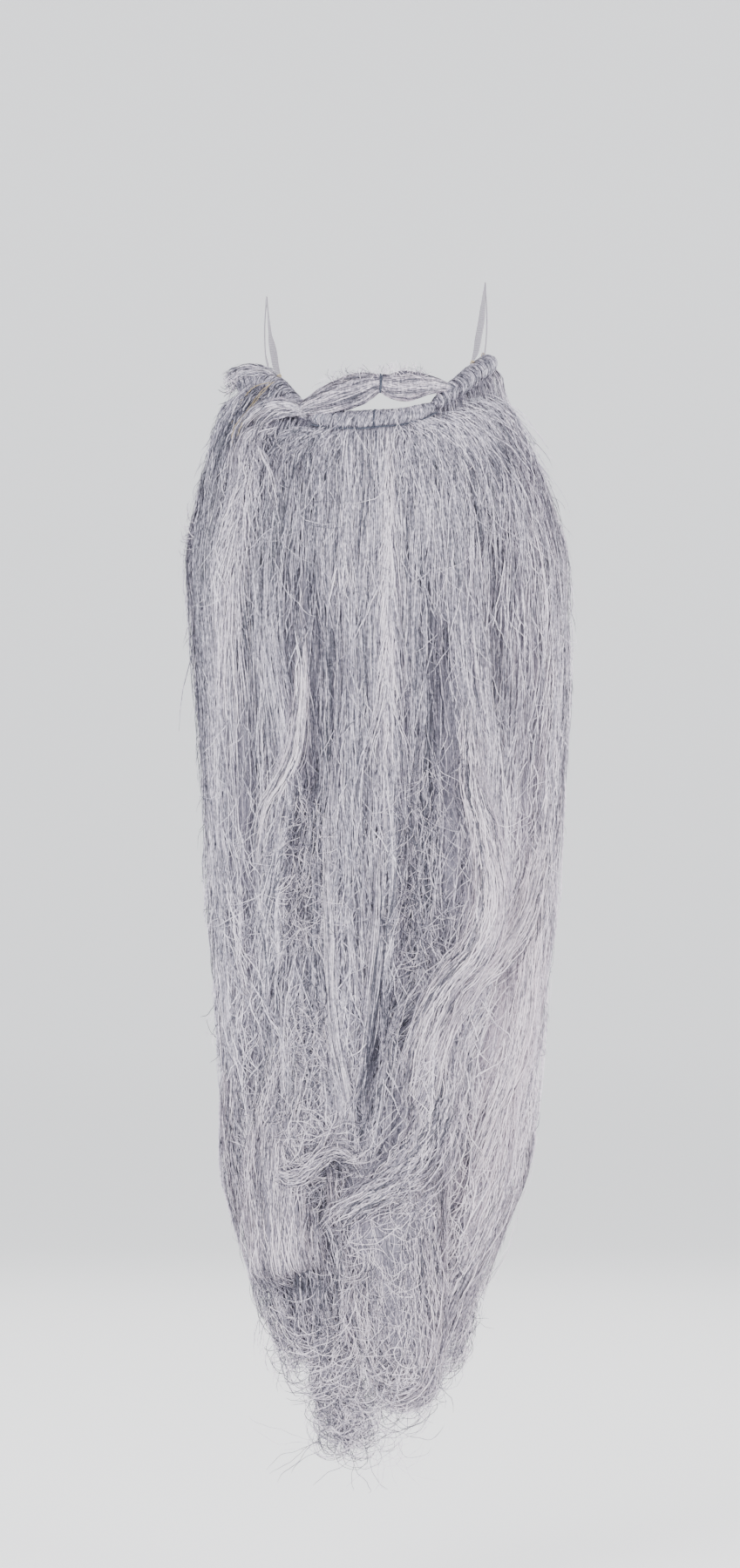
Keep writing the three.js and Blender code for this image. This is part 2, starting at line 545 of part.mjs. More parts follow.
// A flat elastic band from a foot on the wound edge, up over the ear and down behind it to a second foot.
// side is 1 for the wearer's left ear and -1 for the right.
const LOOP_STATIONS = 34;
const FOOT_ANGLE = (120 * Math.PI) / 180; // round the wound edge, from straight out towards the top
function earLoop(side, frontFoot, backFoot, turnColumn) {
  const start = onEdge(frontFoot, FOOT_ANGLE);
  const end = onEdge(backFoot, FOOT_ANGLE);
  const [deep, high] = [EAR_LOOP_DEPTH, EAR_LOOP_HEIGHT];
  const points = EAR_LOOP.map(({ out, back, up }) =>
    start.clone().add(vec(side * out * deep, back * deep, up * high)),
  );
  const line = new THREE.CatmullRomCurve3([start, ...points, end], false, "centripetal");
  const turns = [{ [turnColumn]: 0 }, ...EAR_LOOP, { [turnColumn]: 0 }];
  const rings = [];
  for (let s = 0; s <= LOOP_STATIONS; s += 1) {
    const place = s / LOOP_STATIONS;
    const centre = line.getPoint(place);
    const tangent = line.getTangent(place);
    const flat = vec(side, 0, 0).addScaledVector(tangent, -side * tangent.x).normalize();
    const wide = vec().crossVectors(tangent, flat).normalize();
    const turn = (side * evenly(turns, turnColumn, place) * Math.PI) / 180;
    flat.applyAxisAngle(tangent, turn);
    wide.applyAxisAngle(tangent, turn);
    const [w, t] = [ELASTIC_WIDTH / 2, ELASTIC_THICKNESS / 2];
    const corners = [[w, t], [-w, t], [-w, -t], [w, -t]];
    rings.push(corners.map(([a, b]) => centre.clone().addScaledVector(wide, a).addScaledVector(flat, b)));
  }
  return geometryOf(mainBody(clearOfRolls(solidOf(skin(rings, fanCap)))));
}

// Where the elastic is sewn on, in places along the sewn edge.
const RIGHT_FEET = { front: 0.15, back: 0.055 };
const LEFT_FEET = { front: 0.89, back: 0.975 };

const rolls = {
  cheek_roll_right: [0, RIGHT_CORNER],
  lip_roll: [RIGHT_CORNER, LEFT_CORNER],
  cheek_roll_left: [LEFT_CORNER, 1],
};

// A solid less everything within GAP of the wound rolls.
function clearOfRolls(solid) {
  return Object.values(rolls).reduce((left, [from, to]) => left.subtract(solidOf(roll(from, to, GAP))), solid);
}

// The main body of a solid, without splinters or hollows shut up inside it.
function mainBody(solid) {
  return solid.decompose().reduce((main, other) => (other.volume() > main.volume() ? other : main));
}

function beardFall() {
  const locks = [...END_LOCKS.map(endLock), sweptLock()];
  const whole = locks.reduce((sum, lock) => sum.add(solidOf(lock)), solidOf(curtain()));
  const room = solidOf(moustache(GAP)).add(solidOf(lipTieRoom()));
  return geometryOf(mainBody(clearOfRolls(whole).subtract(room)));
}

const materials = {
  hair: new THREE.MeshStandardMaterial({ color: 0xa9abb6, roughness: 0.7, metalness: 0 }),
  woundHair: new THREE.MeshStandardMaterial({ color: 0x9ea1ad, roughness: 0.75, metalness: 0 }),
  thread: new THREE.MeshStandardMaterial({ color: 0x3a3d48, roughness: 0.8, metalness: 0 }),
  elastic: new THREE.MeshStandardMaterial({ color: 0xe6e2e8, roughness: 0.6, metalness: 0 }),
};

const beard = new THREE.Group();
function addPiece(name, geometry, material) {
  const mesh = new THREE.Mesh(geometry, material);
  mesh.name = name;
  beard.add(mesh);
}

addPiece("beard_fall", beardFall(), materials.hair);
for (const [name, [from, to]] of Object.entries(rolls)) addPiece(name, roll(from, to), materials.woundHair);
addPiece("moustache", geometryOf(clearOfRolls(solidOf(moustache()))), materials.hair);
addPiece("moustache_tie", moustacheTie(), materials.thread);
addPiece("lip_tie", lipTie(), materials.thread);
addPiece("ear_loop_right", earLoop(-1, RIGHT_FEET.front, RIGHT_FEET.back, "rightTurn"), materials.elastic);
addPiece("ear_loop_left", earLoop(1, LEFT_FEET.front, LEFT_FEET.back, "leftTurn"), materials.elastic);

export default beard;
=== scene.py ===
"""A long grey false beard with a tied moustache and elastic ear loops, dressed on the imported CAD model."""

import math

import bpy
import numpy as np
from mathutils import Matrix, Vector


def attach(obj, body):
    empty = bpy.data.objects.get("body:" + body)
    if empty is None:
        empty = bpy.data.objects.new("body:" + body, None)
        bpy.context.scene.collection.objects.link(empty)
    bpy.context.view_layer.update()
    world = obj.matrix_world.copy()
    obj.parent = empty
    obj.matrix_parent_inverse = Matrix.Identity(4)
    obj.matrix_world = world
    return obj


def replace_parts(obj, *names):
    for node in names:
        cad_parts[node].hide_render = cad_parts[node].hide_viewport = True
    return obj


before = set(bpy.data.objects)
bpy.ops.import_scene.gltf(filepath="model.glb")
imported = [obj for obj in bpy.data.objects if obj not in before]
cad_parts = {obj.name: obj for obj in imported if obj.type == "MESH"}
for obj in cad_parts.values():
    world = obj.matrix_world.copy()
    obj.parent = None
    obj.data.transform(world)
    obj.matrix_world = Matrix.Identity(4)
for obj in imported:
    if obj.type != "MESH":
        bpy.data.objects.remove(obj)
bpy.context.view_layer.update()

MM = 0.001
rng = np.random.default_rng(1936)

# Sizes of the CAD model, in millimetres
DROP = 700.0
HALF_WIDTH = 130.0
HAIR_THICKNESS = 40.0
JAW_DEPTH = 95.0
FACE_HALF = 75.0
BAND_RISE = 60.0
CHEEK_ROLL_RADIUS = 6.5
LIP_ROLL_RADIUS = 6.3
DRAPE = 75.0
MOUSTACHE_SPAN = 105.0
MOUSTACHE_HEIGHT = 20.0
MOUSTACHE_THICKNESS = 10.0
MOUSTACHE_RISE = 39.5
GAP = 0.3
WRAP_POWER = 2.4
LOWEST, EDGE_RISE = 0.935, 0.075
TUCK, TOP_WALL, RIM, END_WALL = 0.35, 1.55, 0.34, 0.3

# The sewn edge: across, back, up, roll radius, fan
BAND = np.array([
    (-1.32, 0.97, 0.70, 1.10 * CHEEK_ROLL_RADIUS, -1.00),
    (-1.15, 0.96, 0.77, 1.00 * CHEEK_ROLL_RADIUS, -0.92),
    (-0.97, 0.85, 0.75, 0.82 * CHEEK_ROLL_RADIUS, -0.81),
    (-0.84, 0.63, 0.60, 0.74 * CHEEK_ROLL_RADIUS, -0.69),
    (-0.72, 0.40, 0.42, 0.74 * CHEEK_ROLL_RADIUS, -0.56),
    (-0.60, 0.21, 0.31, 0.80 * LIP_ROLL_RADIUS, -0.42),
    (-0.40, 0.05, 0.25, 1.00 * LIP_ROLL_RADIUS, -0.27),
    (-0.06, -0.05, 0.25, 1.00 * LIP_ROLL_RADIUS, -0.04),
    (0.27, -0.01, 0.30, 0.88 * LIP_ROLL_RADIUS, 0.16),
    (0.49, 0.10, 0.41, 0.66 * LIP_ROLL_RADIUS, 0.33),
    (0.64, 0.25, 0.58, 0.85 * CHEEK_ROLL_RADIUS, 0.48),
    (0.76, 0.44, 0.70, 1.00 * CHEEK_ROLL_RADIUS, 0.62),
    (0.86, 0.65, 0.82, 1.05 * CHEEK_ROLL_RADIUS, 0.76),
    (0.96, 0.84, 0.93, 1.05 * CHEEK_ROLL_RADIUS, 0.90),
    (1.05, 0.99, 1.03, 1.00 * CHEEK_ROLL_RADIUS, 1.00),
])
BAND_POINTS = BAND[:, :3] * (FACE_HALF, JAW_DEPTH, BAND_RISE)
BAND_PLACES = np.linspace(0, 1, len(BAND))
RIGHT_CORNER, LEFT_CORNER = 5 / 14, 9 / 14

# Level sections of the fall: down, right, left, ahead, thick, wrap
SECTIONS = np.array([
    (-0.06, 0.88, 0.68, 0.30, 0.28, 2.50),
    (0.00, 0.93, 0.81, 0.36, 0.36, 2.45),
    (0.05, 0.95, 0.90, 0.60, 0.60, 2.35),
    (0.105, 1.00, 0.975, 0.75, 0.80, 2.10),
    (0.17, 0.985, 0.98, 0.83, 0.93, 1.85),
    (0.26, 0.94, 0.965, 0.86, 1.00, 1.55),
    (0.34, 0.905, 0.93, 0.86, 1.00, 1.38),
    (0.44, 0.875, 0.89, 0.83, 1.00, 1.25),
    (0.54, 0.825, 0.835, 0.80, 1.00, 1.15),
    (0.64, 0.785, 0.80, 0.80, 0.98, 1.05),
    (0.72, 0.78, 0.73, 0.78, 0.92, 0.90),
    (0.77, 0.72, 0.63, 0.74, 0.82, 0.75),
    (0.82, 0.64, 0.54, 0.70, 0.70, 0.60),
    (0.87, 0.55, 0.44, 0.64, 0.55, 0.45),
    (0.91, 0.38, 0.32, 0.58, 0.40, 0.28),
    (0.95, 0.28, 0.12, 0.50, 0.25, 0.15),
])
COLUMN = {"right": 1, "left": 2, "ahead": 3, "thick": 4, "wrap": 5}

# Relief and flow: from, to, wide, lift, line (shares of the half width at even steps), pull, and painted
# light (highlight on raised locks, shade in grooves)
LOCKS = [
    (0.0, 0.74, 0.18, 0.12, (-0.82, -0.80, -0.86, -0.90, -0.94), 0.5, 0.12),
    (0.06, 0.62, 0.18, 0.14, (-0.53, -0.54, -0.46, -0.60, -0.84), 0.8, 0.08),
    (0.1, 0.52, 0.14, -0.17, (-0.30, -0.28, -0.33, -0.44, -0.46), 0.5, -0.11),
    (0.08, 0.72, 0.16, 0.10, (-0.14, -0.14, -0.17, -0.20, -0.26), 0.5, 0.05),
    (-0.02, 0.62, 0.12, 0.14, (0.05, 0.05, 0.06, 0.07, 0.02), 0.5, 0.16),
    (0.14, 0.78, 0.19, -0.20, (0.20, 0.26, 0.28, 0.24, 0.0, -0.30), 1.0, -0.13),
    (0.05, 0.86, 0.22, 0.22, (0.38, 0.40, 0.50, 0.60, 0.34, 0.24, 0.26), 1.0, 0.08),
    (0.03, 0.32, 0.15, -0.12, (0.56, 0.56, 0.58, 0.64), 0.5, -0.12),
    (0.4, 0.84, 0.14, -0.14, (0.84, 0.76, 0.62, 0.56, 0.58), 0.8, -0.05),
    (0.04, 0.84, 0.20, 0.14, (0.84, 0.90, 0.94, 0.90, 0.82), 0.5, 0.12),
    (0.65, 0.84, 0.26, -0.20, (-0.18, -0.34, -0.46, -0.30), 0.6, -0.1),
]


SCALE = 0.595  # mm per pixel of the photograph
CENTRE_X, CHIN_Y = 435.0, 505.0
UP, AHEAD = (0.0, 0.0, 1.0), (0.0, -1.0, 0.0)

# Painted highlights on ridges and folds, painted shade in hollows, grooves and under the folds, and some
# lighter and darker hair: px, py, half width px, half height px, amount
PAINTED_LIGHT_PATCHES = [
    (355, 620, 24, 110, -0.1), (505, 730, 30, 130, -0.05), (552, 590, 14, 45, -0.14),
    (300, 760, 26, 160, -0.05), (265, 600, 8, 90, 0.2), (257, 760, 8, 140, 0.2), (444, 690, 7, 240, 0.17),
    (632, 820, 14, 260, 0.03), (402, 560, 12, 100, 0.05), (246, 500, 16, 64, -0.22),
    (231, 700, 13, 220, -0.24), (310, 500, 26, 26, -0.1), (578, 520, 22, 34, -0.12),
    (300, 640, 34, 120, -0.14), (355, 479, 9, 7, -0.5), (612, 640, 12, 90, 0.08), (282, 431, 10, 8, -0.6),
    (304, 433, 8, 9, -0.6), (372, 540, 10, 60, 0.06), (342, 840, 12, 60, 0.14), (358, 965, 18, 95, -0.17),
    (360, 1185, 24, 75, -0.17), (306, 1190, 9, 80, -0.14), (480, 1060, 26, 60, -0.2),
    (480, 920, 24, 70, -0.11), (439, 1150, 9, 32, -0.38), (426, 1208, 9, 42, -0.5), (416, 1275, 8, 40, -0.4),
    (585, 1160, 46, 230, 0.48), (492, 1200, 20, 80, 0.26), (556, 1050, 18, 60, 0.2),
    (280, 1150, 16, 150, 0.14), (384, 1342, 17, 13, -0.34), (357, 1392, 11, 26, -0.36),
    (324, 1330, 13, 11, -0.2), (322, 1424, 32, 30, 0.24), (328, 1474, 34, 11, -0.55),
    (325, 1515, 34, 34, -0.16), (366, 1500, 7, 46, -0.34), (478, 1560, 32, 50, 0.13),
    (424, 1610, 10, 12, -0.3), (450, 1436, 46, 30, -0.2), (520, 1500, 12, 60, -0.12),
    (505, 1300, 12, 60, -0.14), (550, 1330, 30, 90, 0.26),
]


def photo_x(px):
    return (np.asarray(px, float) - CENTRE_X) * SCALE


def photo_z(py):
    return (CHIN_Y - np.asarray(py, float)) * SCALE


def painted_light_at(x, z):
    """The painted highlights and shade of the patches, with some lighter and darker hair, at places in mm."""
    return sum(
        amount * np.exp(-(((x - photo_x(px)) / (rx * SCALE)) ** 2) - ((z - photo_z(py)) / (ry * SCALE)) ** 2)
        for px, py, rx, ry, amount in PAINTED_LIGHT_PATCHES
    )


def smooth(x, low=0.0, high=1.0):
    t = np.clip((np.asarray(x, float) - low) / (high - low), 0, 1)
    return t * t * (3 - 2 * t)


def mix(a, b, t):
    return a + (b - a) * t


def unit(v):
    return v / np.maximum(np.linalg.norm(v, axis=-1, keepdims=True), 1e-9)


def xyz(*parts):
    return np.stack(np.broadcast_arrays(*parts), -1)


def hermite(t, a, b, slope_a, slope_b):
    t2, t3 = t * t, t * t * t
    share = 3 * t2 - 2 * t3
    return (1 - share) * a + share * b + (t3 - 2 * t2 + t) * slope_a + (t3 - t2) * slope_b


def rom(points, place):
    """A centripetal Catmull-Rom curve through points, at places from 0 to 1."""
    points = np.asarray(points, float)
    padded = np.vstack([2 * points[0] - points[1], points, 2 * points[-1] - points[-2]])
    at = np.clip(np.asarray(place, float), 0, 1) * (len(points) - 1)
    low = np.minimum(at.astype(int), len(points) - 2)
    p0, p1, p2, p3 = (padded[low + k] for k in range(4))
    d0, d1, d2 = (
        np.maximum(np.linalg.norm(b - a, axis=-1, keepdims=True) ** 0.5, 1e-4)
        for a, b in ((p0, p1), (p1, p2), (p2, p3))
    )
    m1 = ((p1 - p0) / d0 - (p2 - p0) / (d0 + d1) + (p2 - p1) / d1) * d1
    m2 = ((p2 - p1) / d1 - (p3 - p1) / (d1 + d2) + (p3 - p2) / d2) * d1
    return hermite((at - low)[..., None], p1, p2, m1, m2)


def heading_of(points, place, step=1e-4):
    return unit(rom(points, place + step) - rom(points, place - step))


def edge_at(place):
    """Centre, tangent, outward and upward directions and radius of the sewn edge."""
    place = np.asarray(place, float)
    centre, tangent = rom(BAND_POINTS, place), heading_of(BAND_POINTS, place)
    out = unit(np.cross(tangent, UP))
    return centre, tangent, out, unit(np.cross(out, tangent)), np.interp(place, BAND_PLACES, BAND[:, 3])


def edge_over(across):
    """Centre, outward direction and radius of the edge over places of the fall, and the fall's top there."""
    centre, _, out, _, radius = edge_at(np.interp(np.clip(across, -1, 1), BAND[:, 4], BAND_PLACES))
    return centre, out, radius, -(centre[..., 2] - TUCK * radius) / DROP


def section(name, down):
    """A column of SECTIONS at shares of DROP, as a smooth curve through the rows."""
    x, y = SECTIONS[:, 0], SECTIONS[:, COLUMN[name]]
    at = np.clip(down, x[0], x[-1])
    high = np.clip(np.searchsorted(x, at), 1, len(x) - 1)
    low = high - 1
    before, after = np.maximum(high - 2, 0), np.minimum(high + 1, len(x) - 1)
    step = x[high] - x[low]
    s0 = (y[high] - y[before]) / (x[high] - x[before]) * step
    s1 = (y[after] - y[low]) / (x[after] - x[low]) * step
    return hermite((at - x[low]) / step, y[low], y[high], s0, s1)


def along(line, place):
    """A list's value at places from 0 to 1, eased between its numbers."""
    line = np.asarray(line, float)
    at = np.clip(place, 0, 1) * (len(line) - 1)
    low = np.minimum(at.astype(int), len(line) - 2)
    return mix(line[low], line[low + 1], smooth(at - low))


def lock_weights(down, across, wider=1.0):
    """Each lock's weight at places of the fall."""
    for lock in LOCKS:
        start, end, wide, _, line, _, _ = lock
        place = (down - start) / (end - start)
        off = (across - along(line, place)) / (wide * wider)
        fade = smooth(place, 0, 0.25) * (1 - smooth(place, 0.75, 1)) * ((place > 0) & (place < 1))
        yield lock, place, fade * np.where(np.abs(off) < 1, 0.5 + 0.5 * np.cos(np.pi * off), 0)


def relief(down, across):
    return sum(lock[3] * w for lock, _, w in lock_weights(down, across)) * HAIR_THICKNESS


# Painted highlight on the raised locks and painted shade in the grooves.
def lock_painted_light(down, across):
    return sum(lock[6] * w for lock, _, w in lock_weights(down, across, 1.4))


def lower_edge(across):
    return LOWEST - EDGE_RISE * across * across


def half_width(down, across):
    return np.where(across < 0, section("right", down), section("left", down)) * HALF_WIDTH


def surface(across, down, depth=0.0, wall=0.0):
    """Points of the fall and the way out of it. depth is in mm ahead of the outer face, and wall runs from
    the outer face (0) to the inner face (1)."""
    across, down = np.broadcast_arrays(np.asarray(across, float), np.asarray(down, float))
    side = np.clip(across, -1, 1)
    centre, edge_out, radius, top = edge_over(across)
    half, share = half_width(down, across), np.abs(side)
    ahead, wrap = section("ahead", down), section("wrap", down)
    point = xyz(half * across, (wrap * share**WRAP_POWER - ahead) * HAIR_THICKNESS, -down * DROP)
    slope = wrap * WRAP_POWER * share ** (WRAP_POWER - 1) * HAIR_THICKNESS * np.sign(across) / half
    out = unit(xyz(slope, -1.0, 0.0))
    hung = 1 - (1 - np.clip((down - top) * DROP / DRAPE, 0, 1)) ** 2
    away = unit(edge_out * (1, 1, 0))
    start = xyz(centre[..., 0], centre[..., 1], -down * DROP) + away * (TOP_WALL / 2 * radius)[..., None]
    outer = mix(start, point, hung[..., None])
    away = unit(mix(away, out, hung[..., None]))
    thick = section("thick", down) * HAIR_THICKNESS * mix(RIM, 1, 1 - share**3)
    ending = mix(1, END_WALL, smooth((down - top) / np.maximum(lower_edge(side) - top, 0.1), 0.86, 1))
    thickness = mix(TOP_WALL * radius, thick, hung) * ending
    lift = relief(down, across) * ending * hung * (1 - wall) + depth - thickness * wall
    return outer + away * lift[..., None], away


# Meshes


def mesh_object(name, points, faces, material, colour=None, uv=None, uv_name="OFBake"):
    """A joined mesh of quads from arrays, in mm, that rides on the beard and takes the given material."""
    mesh = bpy.data.meshes.new(name)
    corners, count = np.asarray(faces, np.int32).ravel(), len(faces)
    mesh.vertices.add(len(points))
    mesh.vertices.foreach_set("co", (np.asarray(points, float) * MM).ravel())
    mesh.loops.add(len(corners))
    mesh.loops.foreach_set("vertex_index", corners)
    mesh.polygons.add(count)
    mesh.polygons.foreach_set("loop_start", np.arange(0, 4 * count, 4, dtype=np.int32))
    mesh.polygons.foreach_set("loop_total", np.full(count, 4, np.int32))
    mesh.update(calc_edges=True)
    mesh.validate()
    mesh.polygons.foreach_set("use_smooth", np.ones(count, bool))
    if colour is not None:
        layer = mesh.color_attributes.new("tint", "FLOAT_COLOR", "POINT")
        rgba = np.ones((len(points), 4))
        rgba[:, :3] = colour
        layer.data.foreach_set("color", rgba.ravel())
    if uv is not None:
        mesh.uv_layers.new(name=uv_name).data.foreach_set("uv", np.asarray(uv)[corners].ravel())
    mesh.materials.append(material)
    obj = bpy.data.objects.new(name, mesh)
    bpy.context.scene.collection.objects.link(obj)
    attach(obj, "root")
    return obj


def ribbons(name, sets, material):
    """Strands as narrow ribbons. Each set is points and the way out, and width, tint and warmth."""
    all_points, all_faces, all_tint, all_uv = [], [], [], []
    base, number = 0, 0
    per_row = max(1, math.ceil(sum(len(s[0]) for s in sets) / 3))
    for points, outward, width, tint, warm in sets:
        n, m, _ = points.shape
        tangent = np.gradient(points, axis=1)
        side = unit(np.cross(tangent, outward))
        roll = rng.uniform(-0.75, 0.75, (n, 1, 1))
        side = side * np.cos(roll) + unit(np.cross(side, tangent)) * np.sin(roll)
        half = side * (width / 2)[..., None]
        ids = base + np.arange(n * m * 2).reshape(n, m, 2)
        all_points.append(np.stack([points - half, points + half], 2).reshape(-1, 3))
        all_faces.append(xyz(ids[:, :-1, 0], ids[:, :-1, 1], ids[:, 1:, 1], ids[:, 1:, 0]).reshape(-1, 4))
        all_tint.append(np.repeat(xyz(tint, warm, 0.0)[:, :, None], 2, 2).reshape(-1, 3))
        row, column = np.divmod(number + np.arange(n), per_row)
        u = (column[:, None, None] + np.array([0.1, 0.9])) / per_row
        v = (row[:, None] + np.linspace(0.01, 0.99, m)) / 3
        all_uv.append(xyz(u, v[..., None]).reshape(-1, 2))
        base, number = base + n * m * 2, number + n
    return mesh_object(name, np.concatenate(all_points), np.concatenate(all_faces), material,
                       colour=np.concatenate(all_tint), uv=np.concatenate(all_uv))


def grid_faces(rows, columns, closed=False):
    ids = np.arange(rows * columns).reshape(rows, columns)
    right = np.roll(ids, -1, 1) if closed else ids[:, 1:]
    left = ids if closed else ids[:, :-1]
    return xyz(left[:-1], right[:-1], right[1:], left[1:]).reshape(-1, 4)


# Materials


def put(tree, node, **inputs):
    """Sets a node's inputs, or links them where the value is another node's output."""
    for name, value in inputs.items():
        socket = node.inputs[int(name[1:]) if name[1:].isdigit() else name.replace("_", " ")]
        if isinstance(value, bpy.types.NodeSocket):
            tree.links.new(value, socket)
        else:
            socket.default_value = value
    return node


def material_of(name, roughness, shine=0.5):
    material = bpy.data.materials.new(name)
    material.use_nodes = True
    tree = material.node_tree
    bsdf = put(tree, tree.nodes["Principled BSDF"], Roughness=roughness, Specular_IOR_Level=shine)
    return material, tree, bsdf


def new_node(tree, kind, **inputs):
    return put(tree, tree.nodes.new("ShaderNode" + kind), **inputs)


def noise(tree, where, scale, detail=3.0, rough=0.55):
    node = new_node(tree, "TexNoise", Scale=scale, Detail=detail, Roughness=rough, Vector=where)
    return node.outputs["Fac"]


def mapping(tree, scale, kind="Object"):
    where = new_node(tree, "TexCoord").outputs[kind]
    return new_node(tree, "Mapping", Scale=scale, Vector=where).outputs["Vector"]


def ramp(tree, value, stops):
    node = new_node(tree, "ValToRGB", Fac=value)
    elements = node.color_ramp.elements
    while len(elements) < len(stops):
        elements.new(0.5)
    for element, (position, colour) in zip(elements, stops):
        element.position = position
        element.color = (*colour, 1.0)
    return node.outputs["Color"]


def math_node(tree, kind, a, b):
    node = new_node(tree, "Math", _0=a, _1=b)
    node.operation = kind
    return node.outputs["Value"]


def bump(tree, bsdf, height, strength, distance):
    node = new_node(tree, "Bump", Strength=strength, Distance=distance, Height=height)
    put(tree, bsdf, Normal=node.outputs["Normal"])


DARK, GREY, SILVER, WHITE = (0.06, 0.064, 0.085), (0.25, 0.25, 0.30), (0.50, 0.49, 0.56), (0.88, 0.86, 0.90)
HAIR_STOPS = [(0.0, DARK), (0.35, GREY), (0.65, SILVER), (1.0, WHITE)]
COOL, WARM = (0.97, 0.94, 1.0), (1.0, 0.90, 0.94)


def hair_colour(tree, bsdf, change, amount):
    """Grey from the piece's own tint with a change added, cooler or warmer with its warmth."""
    own = new_node(tree, "Attribute")
    own.attribute_name = "tint"
    parts = new_node(tree, "SeparateColor", Color=own.outputs["Color"]).outputs
    change = math_node(tree, "MULTIPLY", math_node(tree, "SUBTRACT", change, 0.5), amount)
    grey = ramp(tree, math_node(tree, "ADD", parts["Red"], change), HAIR_STOPS)
    warm = ramp(tree, parts["Green"], [(0.0, COOL), (1.0, WARM)])
    mixed = new_node(tree, "Mix")
    mixed.data_type, mixed.blend_type = "RGBA", "MULTIPLY"
    put(tree, mixed, Factor=1.0, _6=grey, _7=warm)
    put(tree, bsdf, Base_Color=mixed.outputs[2])


def strand_material(name):
    """Strands with their own tint and a fine change along them: grain of the grey hair, partly painted glints
    of its crimps.
    """
    material, tree, bsdf = material_of(name, 0.45, 0.4)
    hair_colour(tree, bsdf, noise(tree, mapping(tree, (620, 620, 400)), 1.0, 2.0), 1.5)
    return material


def under_material(name, kind, scale):
    """Hair seen between the strands: fine streaks along the hair."""
    material, tree, bsdf = material_of(name, 0.6, 0.3)
    fine = noise(tree, mapping(tree, scale, kind), 1.0, 5.0, 0.65)
    hair_colour(tree, bsdf, fine, 1.1)
    bump(tree, bsdf, fine, 0.5, 0.001)
    return material


hair = strand_material("beard_hair")
under_hair = under_material("beard_under_hair", "UV", (110, 15, 1))
wound = strand_material("beard_wound_hair")
wound_under = under_material("beard_wound_under", "Object", (500, 500, 500))


# How the hair lies


def field(seed, across_size, along_size, waves=14):
    """A soft random pattern over the fall, near -1 to 1, from a few slanted waves (sizes in mm)."""
    source = np.random.default_rng(seed)
    kx = 2 * np.pi / (across_size * source.uniform(0.7, 2.0, waves)) * source.choice([-1, 1], waves)
    kz = 2 * np.pi / (along_size * source.uniform(0.7, 2.5, waves))
    phase = source.uniform(0, 2 * np.pi, waves)

    def value(across, down):
        x, z = across * HALF_WIDTH, down * DROP
        return sum(np.cos(a * x + b * z + c) for a, b, c in zip(kx, kz, phase)) / math.sqrt(2 * waves)

    return value


sway_wide, sway_fine = field(1, 40, 170), field(2, 14, 70)
lump_wide, lump_fine = field(3, 16, 240), field(4, 6, 90)
tone_wide, tone_mid, tone_fine = field(5, 14, 240), field(6, 7, 70), field(7, 3, 30)


def sway(across, down):
    """Sideways drift that neighbouring strands share, in mm: slight at the top, loose at the bottom."""
    loose = smooth(down, 0.25, 0.8)
    return mix(0.8, 5.5, loose) * sway_wide(across, down) + mix(0.4, 2.4, loose) * sway_fine(across, down)


def lump(across, down):
    """Depth that neighbouring strands share, in mm."""
    loose = smooth(down, 0.3, 0.8)
    return mix(0.5, 1.3, loose) * lump_wide(across, down) + mix(0.3, 0.8, loose) * lump_fine(across, down)


def tone(across, down):
    """Lighter and darker streaks of the fall, with painted shade just under the sewn edge, painted highlights
    and shade from the locks and the patches, and a little lighter towards the bottom.
    """
    low = 1 + 0.7 * smooth(down, 0.5, 0.8)
    narrow = 0.06 * tone_mid(across, down) + 0.07 * tone_fine(across, down)
    streak = 0.05 * tone_wide(across, down) + low * narrow
    # Painted shade under the sewn edge, where the strands start.
    shade_under_edge = -0.07 * np.exp(-np.clip(down + 0.02 + 0.05 * np.abs(across), 0, 1) * DROP / 14)
    painted_marks = painted_light_at(across * half_width(down, across), -down * DROP)
    return 0.5 * lock_painted_light(down, across) + streak + shade_under_edge + painted_marks + 0.05 * smooth(down, 0.5, 0.95)


def warmth(across, down):
    return np.clip(0.25 + 0.35 * smooth(down, 0.45, 0.95) + 0.3 * smooth(across, 0.0, 0.9), 0, 1)


def shift_along(across, low, high):
    """How far the locks carry strands sideways between two heights."""
    total = np.zeros_like(across)
    for (start, end, _, _, line, pull, _), place, w in lock_weights(low, across):
        total += w * pull * (along(line, (high - start) / (end - start)) - along(line, place))
    return total


def flow(start_across, downs):
    """Where strands run down the fall: an across for each strand and height."""
    track = [np.asarray(start_across, float)]
    for low, high in zip(downs[:, :-1].T, downs[:, 1:].T):
        track.append(track[-1] + shift_along(track[-1], low, high))
    return np.stack(track, 1)


def facing(across, down, away, step=0.012):
    """The way out of the fall with its locks and grooves."""
    slope = relief(down, across + step) - relief(down, across - step)
    slope = slope / (2 * step * half_width(down, across))
    side = unit(np.cross(UP, -away))
    return unit(away - side * np.clip(slope, -0.9, 0.9)[..., None])


# The body of the fall under the strands

SHRINK = 2.6  # how far the body lies under the strands' own surface, in mm
TRACKS, LEVELS, TOP_LEVEL, LEVEL_SPAN = 240, 120, 0.08, 1.03
rows, columns = ((130, 104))
a = np.linspace(-0.975, 0.975, columns)[None, :]
down = mix(edge_over(a)[3], lower_edge(a) - 0.03, np.linspace(0, 0.97, rows)[:, None])
a = a + 0 * down
outer, _ = surface(a, down, lump(a, down) - SHRINK)
inner, _ = surface(a[:, ::-1], down[:, ::-1], 0.0, 0.96)
starts = np.linspace(-1.05, 1.05, TRACKS)
levels = np.linspace(-TOP_LEVEL, LEVEL_SPAN - TOP_LEVEL, LEVELS)
tracks = np.maximum.accumulate(flow(starts, np.broadcast_to(levels, (TRACKS, LEVELS))), 0)
origin = np.empty_like(down)
for index, level in np.ndenumerate(down):
    nearest = min(LEVELS - 1, int((level + TOP_LEVEL) / LEVEL_SPAN * (LEVELS - 1)))
    origin[index] = np.interp(a[index], tracks[:, nearest], starts)
flow_uv = xyz(origin * 1.3, down * 7.0)
